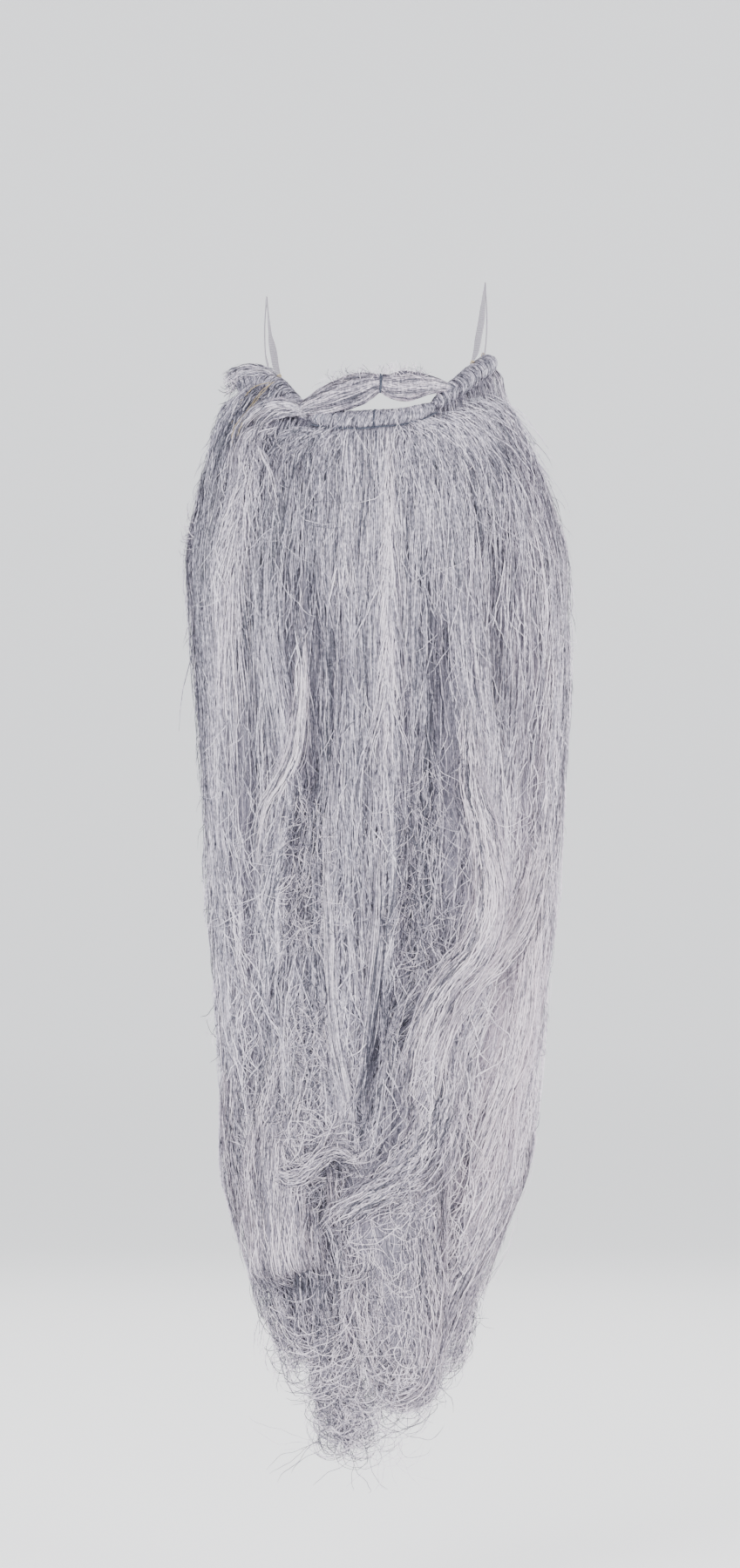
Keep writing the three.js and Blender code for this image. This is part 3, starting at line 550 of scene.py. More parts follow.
flow_uv = np.concatenate([flow_uv, flow_uv[:, ::-1] + (5.0, 0.0)], 1)
inner_shade = 0.42 + 0.05 * (tone_mid(a, down) + tone_wide(a, down))[:, ::-1]
# The outer face is kept darker than the strands over it: painted shade in the gaps between them.
shade = np.concatenate([tone(a, down) + 0.34, inner_shade], 1)
warm = np.concatenate([warmth(a, down), warmth(a, down)[:, ::-1]], 1)
k = np.arange(columns - 1)
last = (rows - 1) * 2 * columns
top_cap = xyz(2 * columns - 1 - k, 2 * columns - 2 - k, k + 1, k)
end_cap = last + top_cap[:, ::-1]
body = mesh_object(
    "fall_body", np.concatenate([outer, inner], 1).reshape(-1, 3),
    np.concatenate([grid_faces(rows, 2 * columns, True), top_cap, end_cap]), under_hair,
    colour=xyz(shade, warm, 0 * warm).reshape(-1, 3), uv=flow_uv.reshape(-1, 2), uv_name="flow",
)
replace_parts(body, "beard_fall")


# Strands of the fall

SEG, FINE, THIN = ((7.5, 4.6, 1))  # mm between points, and one strand in so many


def each(n, low, high):
    """A random number for each of n strands."""
    return rng.uniform(low, high, (n, 1))


def steps(m):
    return np.linspace(0, 1, m)[None, :]


def waves(n, s, *sizes):
    """Waves along strands: s is the length along each strand in mm, sizes are (amplitude, wavelength)."""
    total = np.zeros_like(s)
    for amplitude, wavelength in sizes:
        length = wavelength * each(n, 0.7, 1.5)
        total += amplitude * each(n, 0.3, 1.0) * np.sin(2 * np.pi * (s / length + rng.random((n, 1))))
    return total


def strand_tints(n, light=0.0, contrast=1.0):
    """Salt and pepper: mostly silver, some grey, a few dark."""
    kind = rng.random((n, 1))
    value = np.where(kind < 0.18, 0.12, np.where(kind < 0.5, 0.38, 0.73))
    return 0.52 + (value + rng.normal(0, 0.08, (n, 1)) - 0.52) * contrast + light


def widths(n, wide, tips, least=0.3):
    """Strands of uneven width, thinner at their tips."""
    return wide * each(n, 0.7, 1.3) * mix(least, 1, tips)


def points_for(length, seg=SEG):
    return int(max(5, round(length / seg)))


def within(value, limit, room):
    """Values eased to stay within a limit and a little room past it, on both sides of nought."""
    over = np.maximum(np.abs(value) - limit, 0)
    return np.where(over > 0, np.sign(value) * (limit + room * np.tanh(over / room)), value)


def any_side(n):
    return rng.uniform(-1, 1, n)


def rim_side(n):
    return rng.choice([-1, 1], n) * (1.01 - rng.exponential(0.04, n)).clip(0.7, 1.01)


def fall_strands(n, length, start=(-0.05, 0.85), side=None, depth=(-1.5, 2.0), wave=1.0, wide=0.55, wall=0.0,
                 light=0.0, stray=0.012, rooted=0.15, seg=SEG, kink=0.0):
    """Strands that follow the fall. length is in mm, and start is a range in shares of DROP."""
    n //= THIN
    a0 = np.where(rng.random(n) < 0.16, rim_side(n), any_side(n)) if side is None else side(n)
    top = edge_over(a0)[3]
    first = np.maximum(np.where(rng.random(n) < rooted, top, rng.uniform(*start, n)), top)
    low_end = lower_edge(np.clip(a0, -1, 1)) - 0.03 + rng.uniform(-0.05, 0.01, n)
    last = np.minimum(first + rng.uniform(*length, n) / DROP, low_end)
    keep = last - first > 0.05
    a0, first, last, top = (v[keep] for v in (a0, first, last, top))
    n, s = len(a0), steps(points_for(np.mean(length), seg))
    down = mix(first[:, None], last[:, None], s)
    fallen = down - down[:, :1]
    run, loose = fallen * DROP, smooth(down, 0.25, 0.8)
    across = flow(a0, down) + rng.normal(0, stray, (n, 1)) * fallen / 0.3 * (0.6 + 1.6 * loose)
    crimp = waves(n, run, (1.5, 140), (0.5, 42), (0.32, 19)) * wave * (0.55 + 1.1 * loose)
    crimp = crimp + kink * waves(n, run, (0.55, 17), (0.4, 11))
    across = within(across + (crimp + sway(across, down)) / half_width(down, across), 1.0, 0.055)
    lift = each(n, *depth) + waves(n, run, (0.7, 110), (0.3, 28)) + lump(across, down)
    tips = np.minimum(smooth(s, 0, 0.08), 1 - smooth(s, 0.88, 1))
    lift = lift - (1 - tips) * 1.5
    if not wall:
        lift = lift - 4.5 * (1 - smooth((down - top[:, None]) * DROP, 2, 9))
    points, away = surface(across, down, lift, wall)
    away = -away if wall else facing(across, down, away)
    width = widths(n, wide, tips)
    # The fall's streaks, with its painted highlights and shade, on the outer strands.
    shade = strand_tints(n, light, 1 + 0.4 * loose) + tone(across, down) * (1 - wall)
    return points, away, width + 0 * down, shade + waves(n, run, (0.08, 60), (0.08, 20)), warmth(across, down)


KINKED = {"seg": FINE, "kink": 1.5, "rooted": 0, "wide": 0.65}
ribbons("fall_strands_deep", [
    fall_strands(240, (420, 640), (-0.05, 0.2), depth=(-2.0, 0.0), rooted=0.5, stray=0.02),
    fall_strands(1000, (120, 220), (-0.05, 0.8), depth=(-1.5, 1.0), stray=0.03, wave=1.3),
], hair)
ribbons("fall_strands_mid", [
    fall_strands(500, (200, 380), (-0.05, 0.62), depth=(-1.0, 1.2), rooted=0.3, stray=0.02, wave=1.3,
                 wide=0.65),
    fall_strands(1200, (100, 220), (-0.05, 0.8), depth=(-0.6, 1.4), rooted=0.2, stray=0.05, wave=1.7,
                 wide=0.65),
], hair)
ribbons("fall_strands_top", [
    fall_strands(2300, (40, 120), (-0.03, 0.85), depth=(0.0, 2.0), wave=1.6, stray=0.2, wide=0.65, rooted=0),
    fall_strands(1100, (18, 50), (-0.07, 0.12), depth=(-0.6, 2.0), stray=0.5, seg=FINE, kink=1.2, rooted=0.2,
                 wide=0.65),
    fall_strands(2700, (20, 55), (0.0, 0.55), depth=(0.4, 2.4), stray=0.4, **KINKED),
    fall_strands(1300, (20, 50), (0.5, 0.88), depth=(0.4, 2.6), stray=0.45, **KINKED),
], hair)
ribbons("fall_strands_back", [
    fall_strands(350, (150, 350), (-0.05, 0.6), side=rim_side, depth=(-1.0, 2.5), wave=1.7, stray=0.03),
    fall_strands(260, (50, 130), (-0.04, 0.1), side=rim_side, depth=(0.0, 2.4), wave=1.0, stray=0.02),
    fall_strands(500, (200, 400), (-0.05, 0.6), depth=(-1.2, 1.2), wall=1.0, wide=0.7, stray=0.05, wave=1.5,
                 light=-0.08),
    fall_strands(1800, (20, 60), (-0.04, 0.86), depth=(-2.4, -0.2), wall=1.0, wide=0.7, stray=0.5, kink=1.5,
                 seg=FINE, rooted=0.06, light=-0.03),
], hair)


# Locks laid over the fall and its end, from the photograph's own places

FACE_LEVELS = np.linspace(-0.09, 0.94, 140)
FACE = surface(np.linspace(-1, 1, 161)[None, :], FACE_LEVELS[:, None])[0]


def front_y(x, z):
    """How far forward the fall's face lies at places, in mm."""
    x, z = np.broadcast_arrays(np.asarray(x, float), np.asarray(z, float))
    at = np.interp(-z / DROP, FACE_LEVELS, np.arange(len(FACE_LEVELS)))
    low = np.minimum(at.astype(int), len(FACE_LEVELS) - 2)
    y = np.empty(x.shape)
    for k in np.unique(low):
        here = low == k
        upper, lower = (np.interp(x[here], FACE[r, :, 0], FACE[r, :, 1]) for r in (k, k + 1))
        y[here] = mix(upper, lower, (at - low)[here])
    return y


def photo_line(places):
    """Points at y 0 from rows that start with px, py."""
    places = np.array(places, float)
    return xyz(photo_x(places[:, 0]), 0.0, photo_z(places[:, 1]))


def lock_line(rows, y=None):
    """The middle of a lock from rows of (px, py, width mm, lift mm, thickness mm), and its length."""
    rows, centre = np.array(rows, float), photo_line(rows)
    centre[:, 1] = front_y(centre[:, 0], centre[:, 2]) - rows[:, 3] if y is None else y
    fine = rom(centre, np.linspace(0, 1, 200))
    return rows, centre, np.concatenate([[0], np.cumsum(np.linalg.norm(np.diff(fine, axis=0), axis=1))])


def lock_frame(rows, centre, length, t):
    at = np.interp(t * length[-1], length, np.linspace(0, 1, 200))
    tangent = heading_of(centre, at, 0.01)
    side = unit(np.cross(tangent, AHEAD))
    half, thick = (np.interp(at, np.linspace(0, 1, len(rows)), rows[:, k]) for k in (2, 4))
    return rom(centre, at), side, unit(np.cross(side, tangent)), half / 2, thick


def tress(count, rows, y=None, wave=1.0, wide=0.5, light=0.0, full=False, start=(0, 0.1), end=(0.85, 1.0),
          spread=0.0, frizz=0.0, warm=0.5, soft=True, seg=SEG, streak=0.1):
    """A lock of strands along its rows: over the front half, or all round when full."""
    count //= THIN
    line = lock_line(rows, y)
    length = line[2][-1]
    s = steps(points_for(length * 0.9 * (1.35 if frizz else 1), seg))
    t = mix(each(count, *start), each(count, *end), s)
    middle, side, front, half, thick = lock_frame(*line, t)
    run = t * length
    if full:
        turn = each(count, 0, 2 * np.pi) + waves(count, run, (0.25, 90))
        size = each(count, 0.86, 1.05)
        u, w = size * np.cos(turn), size * np.sin(turn) * 0.5
    else:
        u = rng.normal(0, 0.55, (count, 1)).clip(-1.5, 1.5) if soft else each(count, -1, 1)
        u = u + waves(count, run, (0.14, 90))
        w = np.sqrt(np.clip(1 - (u / (1.6 if soft else 1)) ** 2, 0, 1)) * each(count, 0.3, 1.0)
        u = u.clip(-1.6, 1.6)
    fan_out = 1 + spread * each(count, 0, 1) * smooth(t, 0.6, 1)
    loose = wave * (1 + frizz * smooth(t, 0.55, 1))
    sideways = u * half * fan_out + waves(count, run, (0.9, 70), (0.5, 26), (0.35, 13)) * loose
    forward = w * thick + waves(count, run, (0.6, 60), (0.4, 22)) * loose
    points = middle + side * sideways[..., None] + front * forward[..., None]
    bulge = np.sqrt(np.clip(1.05 - u * u, 0, 1)) * np.where(w < 0, -1, 1)
    away = unit(front * bulge[..., None] + side * u[..., None])
    width = widths(count, wide, np.minimum(smooth(s, 0, 0.08), 1 - smooth(s, 0.85, 1)))
    shade = strand_tints(count, light, 1.5) + waves(count, run, (0.14, 50), (0.1, 20))
    for low, high in ((5, 7), (11, 15)):
        shade = shade + streak * np.sin(u * rng.uniform(low, high) + rng.uniform(0, 6))
    # Painted highlights and shade from the patches.
    shade = shade + 0.8 * painted_light_at(points[..., 0], points[..., 2])
    return points, away, width, shade, warm


def fan(count, lines, start=(0, 0.6), span=(0.15, 0.4), lift=(0.2, 2.4), wave=1.4, kink=0.8, wide=0.6,
        light=0.0, warm=0.3, spread=1.0):
    """Strands between two lines of places (px, py) of the photograph, laid on the face of the fall."""
    count //= THIN
    inner, outer = (photo_line(line) for line in lines)
    length = np.linalg.norm(np.diff((inner + outer) / 2, axis=0), axis=1).sum()
    s = steps(points_for(length * np.mean(span), FINE))
    first = each(count, *start)
    t = mix(first, np.minimum(first + each(count, *span), 1), s)
    line = mix(rom(inner, t), rom(outer, t), rng.random((count, 1, 1)) ** spread)
    side = unit(np.cross(np.gradient(line, axis=1), AHEAD))
    run = t * length
    off = rng.normal(0, 0.16, (count, 1)) * (run - run[:, :1])
    off = off + wave * waves(count, run, (1.0, 60), (0.5, 26))
    line = line + side * (off + kink * waves(count, run, (0.55, 17), (0.4, 11)))[..., None]
    x, z = within(line[..., 0], 131.0, 8.0), line[..., 2]
    tips = np.minimum(smooth(s, 0, 0.15), 1 - smooth(s, 0.8, 1))
    away = unit(xyz((front_y(x + 1, z) - front_y(x - 1, z)) / 2, -1.0, 0.0))
    high = each(count, *lift) - 1.2 * (1 - tips)
    points = xyz(x, front_y(x, z), z) + away * high[..., None]
    width = widths(count, wide, tips)
    # Painted highlights and shade from the patches.
    shade = strand_tints(count, light) + 0.8 * painted_light_at(x, z) + waves(count, run, (0.08, 60), (0.08, 20))
    return points, away, width, shade, warm


def core(name, sets):
    """Rounded bodies inside locks, so that no light shows through them; their dark tints paint the shade
    between the strands. sets are (rows, size, tint).
    """
    points, faces, uv, colour = [], [], [], []
    stations, sides = 40, 28
    turn = (2 * np.pi * np.arange(sides) / sides)[None, :]
    for rows, size, tint in sets:
        line = lock_line(rows)
        t = 0.5 - 0.5 * np.cos(np.pi * np.linspace(0, 1, stations))
        middle, side, front, half, thick = lock_frame(*line, t)
        rounding = np.sqrt(np.clip(1 - (2 * t - 1) ** 8, 0, 1)) * size
        wide = (half * rounding)[:, None] * np.cos(turn)
        deep = (thick * rounding)[:, None] * np.where(np.sin(turn) < 0, 0.5, 1.0) * np.sin(turn)
        ring = middle[:, None] + side[:, None] * wide[..., None] + front[:, None] * deep[..., None]
        faces.append(grid_faces(stations, sides, True) + stations * sides * len(points))
        points.append(ring.reshape(-1, 3))
        uv.append(xyz(wide / 100, (t * line[2][-1] / 100)[:, None]).reshape(-1, 2))
        colour.append(np.full((stations * sides, 3), (tint, 0.6, 0)))
    return mesh_object(name, np.concatenate(points), np.concatenate(faces), under_hair,
                       colour=np.concatenate(colour), uv=np.concatenate(uv), uv_name="flow")


def curls(count, px, py, rx, ry, shortest, longest, heading, scatter, turn_low, turn_high,
          lift_low, lift_high, wide, light, both):
    """Loose hairs that curl in the plane of the photograph, from a row of CURLS."""
    count = max(1, count // THIN)
    m = max(8, int((shortest + longest) / 2 / (3.2)))
    size, where = np.sqrt(rng.random(count)), rng.uniform(0, 2 * np.pi, count)
    x = photo_x(px + rx * size * np.cos(where))[:, None]
    z = photo_z(py + ry * size * np.sin(where))[:, None]
    step = each(count, shortest, longest) / (m - 1)
    run = step * np.arange(m)[None, :]
    way = rng.choice([-1, 1], (count, 1)) if both else 1
    angle = np.radians(heading) + rng.normal(0, scatter, (count, 1))
    angle = angle + way * each(count, turn_low, turn_high) * run + waves(count, run, (0.35, 30), (0.25, 11))
    x = x + np.cumsum(np.sin(angle) * step, 1) - np.sin(angle[:, :1]) * step
    z = z - np.cumsum(np.cos(angle) * step, 1) + np.cos(angle[:, :1]) * step
    x, z = within(x, 132.0, 11.0), within(z, 700.0, 22.0)
    points = xyz(x, front_y(x, z) - each(count, lift_low, lift_high) - waves(count, run, (1.2, 40)), z)
    width = widths(count, wide, 1 - smooth(steps(m), 0.8, 1), 0.4)
    # Painted highlights and shade from the patches.
    shade = strand_tints(count, light, 1.7) + 0.6 * painted_light_at(x, z)
    return points, np.broadcast_to(AHEAD, points.shape), width, shade, 0.6


def fuzz(count, side, length, lift, scatter=0.5, wide=0.38, light=0.05):
    """Short stray hairs that stand off the fall."""
    count //= THIN
    m = 8
    a0 = side(count)[:, None]
    down0 = np.minimum(each(count, -0.04, 0.85), lower_edge(np.clip(a0, -1, 1)) - 0.05)
    step = each(count, *length) / (m - 1)
    run = step * np.arange(m)[None, :]
    loose = 0.6 + 0.9 * smooth(down0, 0.3, 0.8)
    angle = (rng.normal(0, scatter, (count, 1)) + rng.normal(0, 0.03, (count, 1)) * run) * loose
    angle = angle + waves(count, run, (0.3, 16))
    dx, dz = np.cumsum(np.sin(angle) * step, 1), np.cumsum(np.cos(angle) * step, 1)
    down = down0 + dz / DROP
    across = a0 + (dx + sway(a0, down0)) / half_width(down0, a0)
    high = each(count, *lift) * smooth(run / run[:, -1:], 0, 0.6) + lump(across, down)
    points, away = surface(within(across, 1.0, 0.065), down, high)
    width = widths(count, wide, 1 - smooth(steps(m), 0.6, 1), 0.4)
    # The fall's streaks, with its painted highlights and shade.
    shade = strand_tints(count, light) + tone(across, down)
    return points, away, width, shade, warmth(across, down)


# Locks of the fall: a shape, its strands, its rows and its settings
# Their light settings partly paint highlights on the streaks and raised locks and shade by the tab, besides
# lighter and darker hair.
FALL_LOCKS = {
    "swept_lock": (tress, 170, [(354, 474, 2, 2, 2), (341, 463, 5, 4, 3), (324, 458, 7, 6, 5),
        (304, 459, 8, 7, 5), (287, 467, 8, 6, 5), (275, 481, 8, 5, 4), (269, 503, 7, 4, 3),
        (265, 550, 9, 1, 2)], dict(light=0.16, end=(0.4, 0.95), warm=0.3, seg=FINE)),
    "swept_lock_below": (tress, 60, [(354, 475, 3, 2, 2), (337, 468, 6, 3, 3), (316, 469, 8, 4, 3),
        (299, 480, 9, 3, 2), (288, 520, 10, 2, 2)], dict(light=0.08, end=(0.4, 1.0), warm=0.4, seg=FINE,
        wave=1.6)),
    "below_the_swept_lock": (fan, 330, [[(322, 481), (303, 500), (295, 540), (284, 600), (272, 680),
        (265, 840)], [(300, 477), (283, 497), (277, 540), (265, 600), (254, 680), (250, 840)]],
        dict(start=(0, 0.75), light=0.13, lift=(0.4, 3.0), warm=0.5)),
    "swept_lock_end": (tress, 70, [(300, 482, 6, 2, 2), (284, 492, 8, 3, 3), (276, 508, 8, 3, 3),
        (274, 532, 8, 1, 2), (270, 570, 9, 0, 1)], dict(light=0.1, end=(0.4, 1.0), warm=0.3, seg=FINE)),
    "shoulder_right": (fan, 420, [[(398, 489), (392, 510), (388, 540), (386, 600), (384, 680)], [(354, 486),
        (330, 491), (308, 512), (296, 570), (284, 660)]], dict(light=-0.06)),
    "drawn_from_the_tab": (tress, 120, [(300, 438, 20, 0, 2), (286, 447, 22, 0, 3), (271, 470, 22, 0, 3),
        (256, 505, 22, 0, 2), (245, 560, 22, 0, 1)], dict(y=[79, 73, 63, 63, 53], light=-0.18, end=(0.5, 1.0),
        warm=0.1, seg=FINE, wave=2.2)),
    "under_the_tab": (fan, 420, [[(312, 440), (294, 456), (276, 478), (266, 510), (258, 570)], [(266, 438),
        (253, 458), (244, 484), (237, 514), (229, 572)]], dict(light=-0.07, kink=1.4, lift=(0.0, 4.0),
        span=(0.12, 0.35), wide=0.65, warm=0.1)),
    "painted_shade_by_the_tab": (tress, 60, [(318, 440, 8, 0, 2), (306, 458, 10, 0, 2), (294, 466, 10, 0, 2)],
        dict(y=[62, 52, 50], light=-0.2, end=(0.6, 1.0), warm=0.1, seg=FINE, wave=2.0)),
    "tab": (tress, 260, [(320, 430, 8, 0, 3), (303, 419, 10, 0, 5), (285, 416, 11, 0, 6),
        (269, 419, 11, 0, 6), (254, 428, 10, 0, 5)], dict(y=[80, 86, 90, 92, 92], light=0.04, full=True,
        start=(0, 0.5), end=(0.8, 1.0), wave=1.8, frizz=0.8, warm=0.2, seg=FINE)),
    "shoulder_left": (fan, 900, [[(452, 489), (456, 510), (460, 545), (464, 610), (466, 700)], [(508, 470),
        (548, 482), (584, 520), (604, 580), (612, 680)]], dict(light=-0.03, spread=0.8)),
    "edge_left": (fan, 520, [[(506, 472), (532, 482), (562, 520), (584, 580), (594, 680)], [(556, 436),
        (592, 462), (612, 506), (628, 566), (637, 680)]], dict(light=0.0, lift=(0.4, 4.0), warm=0.4)),
    "middle_streak": (fan, 190, [[(441, 492), (442, 600), (440, 700), (439, 800), (436, 890)], [(450, 492),
        (451, 600), (449, 700), (448, 800), (446, 890)]], dict(start=(0, 0.9), span=(0.08, 0.25), light=0.2,
        lift=(1.0, 3.2), wave=0.6, warm=0.5)),
    "second_streak": (fan, 110, [[(392, 560), (389, 640), (386, 720)], [(404, 560), (402, 640), (398, 720)]],
        dict(start=(0, 0.7), light=0.12, lift=(1.0, 3.0), wave=0.6, warm=0.4)),
    "bent_bundle": (tress, 110, [(346, 700, 3, -2, 1), (347, 770, 8, 0, 1), (344, 820, 11, 1, 2),
        (338, 865, 13, 2, 3), (322, 900, 14, 2, 3), (304, 935, 14, 1, 2), (296, 1000, 16, 0, 1)],
        dict(light=0.2, start=(0, 0.35), end=(0.6, 1.0), warm=0.5)),
    "valley_right": (tress, 90, [(378, 930, 10, 0, 1), (380, 1060, 10, 1, 2), (384, 1160, 10, 1, 2),
        (396, 1240, 8, 1, 2), (411, 1300, 5, 0, 1)], dict(light=0.1, wave=0.5, end=(0.8, 1.0), warm=0.4)),
    "valley_left": (tress, 90, [(440, 980, 16, 0, 1), (436, 1080, 16, 1, 2), (424, 1180, 14, 1, 2),
        (414, 1260, 8, 0, 1), (412, 1310, 5, 0, 1)], dict(wave=0.6, end=(0.8, 1.0), warm=0.4)),
    "big_lock": (tress, 200, [(538, 800, 14, 0, 1), (541, 900, 18, 1, 2), (556, 970, 22, 2, 4),
        (560, 1040, 26, 4, 6), (545, 1090, 28, 4, 6), (512, 1130, 28, 3, 5), (486, 1180, 30, 2, 4),
        (470, 1250, 32, 1, 3), (462, 1310, 40, 0, 2)], dict(light=0.08, wave=1.6, start=(0, 0.35),
        end=(0.5, 0.95), warm=0.7, wide=0.6)),
    "big_lock_outer": (tress, 160, [(628, 900, 14, 0, 1), (618, 980, 22, 1, 2), (600, 1050, 26, 3, 4),
        (572, 1095, 26, 3, 5), (540, 1130, 24, 2, 4), (510, 1180, 26, 1, 3), (492, 1260, 30, 0, 2)],
        dict(light=0.1, wave=1.2, start=(0, 0.3), end=(0.6, 1.0), warm=0.8)),
    "edge_inward": (tress, 170, [(618, 980, 20, 0, 1), (606, 1100, 26, 1, 2), (590, 1200, 30, 1, 3),
        (560, 1290, 32, 1, 3), (530, 1370, 34, 0, 2)], dict(light=0.12, wave=1.2, start=(0, 0.4),
        end=(0.6, 1.0), warm=0.9)),
}

# middle of each lock of the end: px, py, width, lift and thickness in mm
FOLDED = [(322, 1290, 44, 0, 4), (320, 1350, 46, 2, 7), (321, 1410, 46, 6, 10), (325, 1446, 46, 7, 10),
          (329, 1461, 44, 0, 8), (332, 1452, 40, -9, 5)]
MIDDLE = [(444, 1330, 84, -2, 6), (448, 1420, 76, -1, 9), (454, 1500, 66, -1, 12), (462, 1565, 54, -2, 13),
          (466, 1598, 44, -3, 12), (467, 1618, 26, -5, 9)]
LOWEST_LOCK = [(388, 1450, 28, -4, 8), (382, 1530, 32, -4, 9), (386, 1590, 34, -6, 10),
               (395, 1640, 30, -8, 10), (399, 1668, 20, -8, 8)]
UNDER = [(322, 1430, 42, -14, 6), (328, 1490, 46, -14, 7), (342, 1528, 36, -13, 6), (353, 1562, 16, -12, 4)]

# Locks of the end
# Their light settings partly paint the fold's highlight and the shade under and behind the fold and on the
# thin loops, besides lighter and darker hair.
FALL_END = {
    "folded": (tress, 520, FOLDED, dict(light=0.1, wave=1.9, warm=0.7, end=(0.85, 1.0), soft=False,
        streak=0.06)),
    "under_the_fold": (tress, 230, UNDER, dict(full=True, wave=1.8, frizz=1.2, spread=0.2, end=(0.6, 1.0),
        warm=0.4, light=-0.16)),
    "middle": (tress, 420, MIDDLE, dict(light=0.01, full=True, wave=1.8, frizz=0.8, end=(0.6, 1.0),
        warm=0.7)),
    "middle_face": (tress, 280, MIDDLE, dict(light=0.03, wave=2.4, start=(0.1, 0.7), end=(0.6, 1.0), warm=0.7,
        soft=False, seg=FINE)),
    "turned_back": (tress, 300, [(592, 1230, 24, -1, 5), (580, 1340, 28, 0, 7), (552, 1424, 28, 0, 8),
        (516, 1500, 24, 1, 8), (498, 1556, 18, 2, 8), (490, 1596, 17, 2, 8), (470, 1612, 15, 1, 7),
        (446, 1606, 15, 0, 6), (428, 1588, 15, 0, 4)], dict(light=0.14, wave=1.6, start=(0, 0.5),
        end=(0.7, 1.0), warm=0.8)),
    "turned_back_inner": (tress, 200, [(470, 1400, 30, 1, 6), (482, 1480, 30, 2, 8), (484, 1545, 26, 3, 9),
        (470, 1588, 20, 3, 8), (444, 1596, 18, 2, 7), (422, 1572, 18, 1, 5)], dict(light=0.1, wave=2.0,
        start=(0, 0.4), warm=0.8)),
    "turned_to_the_right": (tress, 150, [(420, 1430, 26, 1, 6), (420, 1500, 28, 2, 8), (432, 1560, 24, 3, 9),
        (450, 1580, 18, 3, 8), (468, 1566, 16, 2, 7)], dict(light=0.08, wave=2.4, start=(0, 0.4), warm=0.8,
        frizz=0.5)),
    "lowest": (tress, 330, LOWEST_LOCK, dict(full=True, wave=2.0, frizz=1.4, end=(0.6, 1.0), warm=0.5,
        light=-0.02)),
    "behind_the_fold": (tress, 190, [(352, 1420, 26, -9, 6), (358, 1480, 28, -10, 7), (364, 1535, 26, -10, 7),
        (374, 1585, 18, -9, 6)], dict(full=True, wave=1.8, frizz=1.1, end=(0.6, 1.0), warm=0.5, light=-0.06)),
    "tuft_by_the_fold": (tress, 110, [(356, 1378, 12, 2, 3), (360, 1412, 13, 4, 5), (364, 1442, 13, 4, 6),
        (368, 1462, 11, -1, 5)], dict(light=0.06, wave=1.9, start=(0, 0.4), end=(0.8, 1.0), warm=0.7)),
    "outer_right": (tress, 170, [(272, 1230, 20, -2, 5), (272, 1310, 22, -1, 6), (282, 1380, 20, -2, 6),
        (292, 1440, 12, -6, 5)], dict(full=True, wave=1.5, frizz=0.6, end=(0.7, 1.0), warm=0.6)),
    "thin_loops": (tress, 100, [(548, 1420, 18, -4, 4), (538, 1480, 20, -6, 4), (534, 1525, 18, -8, 3),
        (525, 1565, 12, -10, 3), (508, 1588, 7, -10, 2)], dict(wave=3.0, frizz=1.2, end=(0.6, 1.0), warm=0.5,
        light=-0.08, seg=FINE)),
}

# Locks that cross over the others
CROSSING_LOCKS = {
    "crossing": (tress, 330, [(512, 1190, 30, 0, 2), (503, 1262, 36, 0, 3), (482, 1322, 38, 2, 4),
        (446, 1358, 34, 3, 5), (408, 1384, 28, 4, 5), (378, 1412, 20, 3, 4), (364, 1436, 16, 0, 2)],
        dict(light=0.0, wave=3.0, start=(0, 0.5), end=(0.5, 1.0), warm=0.6, streak=0.06, wide=0.6)),
    "curl": (tress, 170, [(322, 1190, 30, 0, 2), (308, 1258, 26, 1, 3), (303, 1312, 22, 2, 4),
        (316, 1344, 20, 4, 4), (340, 1350, 18, 5, 4), (362, 1334, 16, 6, 4), (386, 1320, 15, 6, 4),
        (408, 1330, 14, 4, 3), (418, 1360, 15, 1, 2)], dict(light=0.06, wave=2.8, start=(0, 0.55),
        end=(0.4, 1.0), warm=0.6, streak=0.05)),
    "inner_curl": (tress, 120, [(356, 1200, 26, 0, 2), (346, 1262, 20, 1, 3), (336, 1305, 14, 2, 3),
        (348, 1334, 12, 4, 3), (368, 1322, 11, 4, 3), (384, 1296, 12, 3, 3), (394, 1262, 14, 1, 2)],
        dict(light=0.04, wave=2.4, start=(0, 0.5), end=(0.4, 1.0), warm=0.6, streak=0.05)),
    "below_the_crossing": (tress, 150, [(372, 1390, 14, 2, 3), (384, 1412, 18, 3, 4), (394, 1446, 22, 3, 5),
        (400, 1500, 24, 2, 4), (404, 1560, 26, 0, 3)], dict(light=-0.06, wave=2.4, start=(0, 0.4),
        end=(0.5, 1.0), warm=0.5)),
    "over_the_middle": (tress, 150, [(430, 1400, 30, 2, 3), (440, 1430, 34, 3, 4), (452, 1480, 34, 3, 4),
        (462, 1540, 34, 2, 4)], dict(light=0.06, wave=2.2, start=(0, 0.5), end=(0.4, 1.0), warm=0.6)),
}

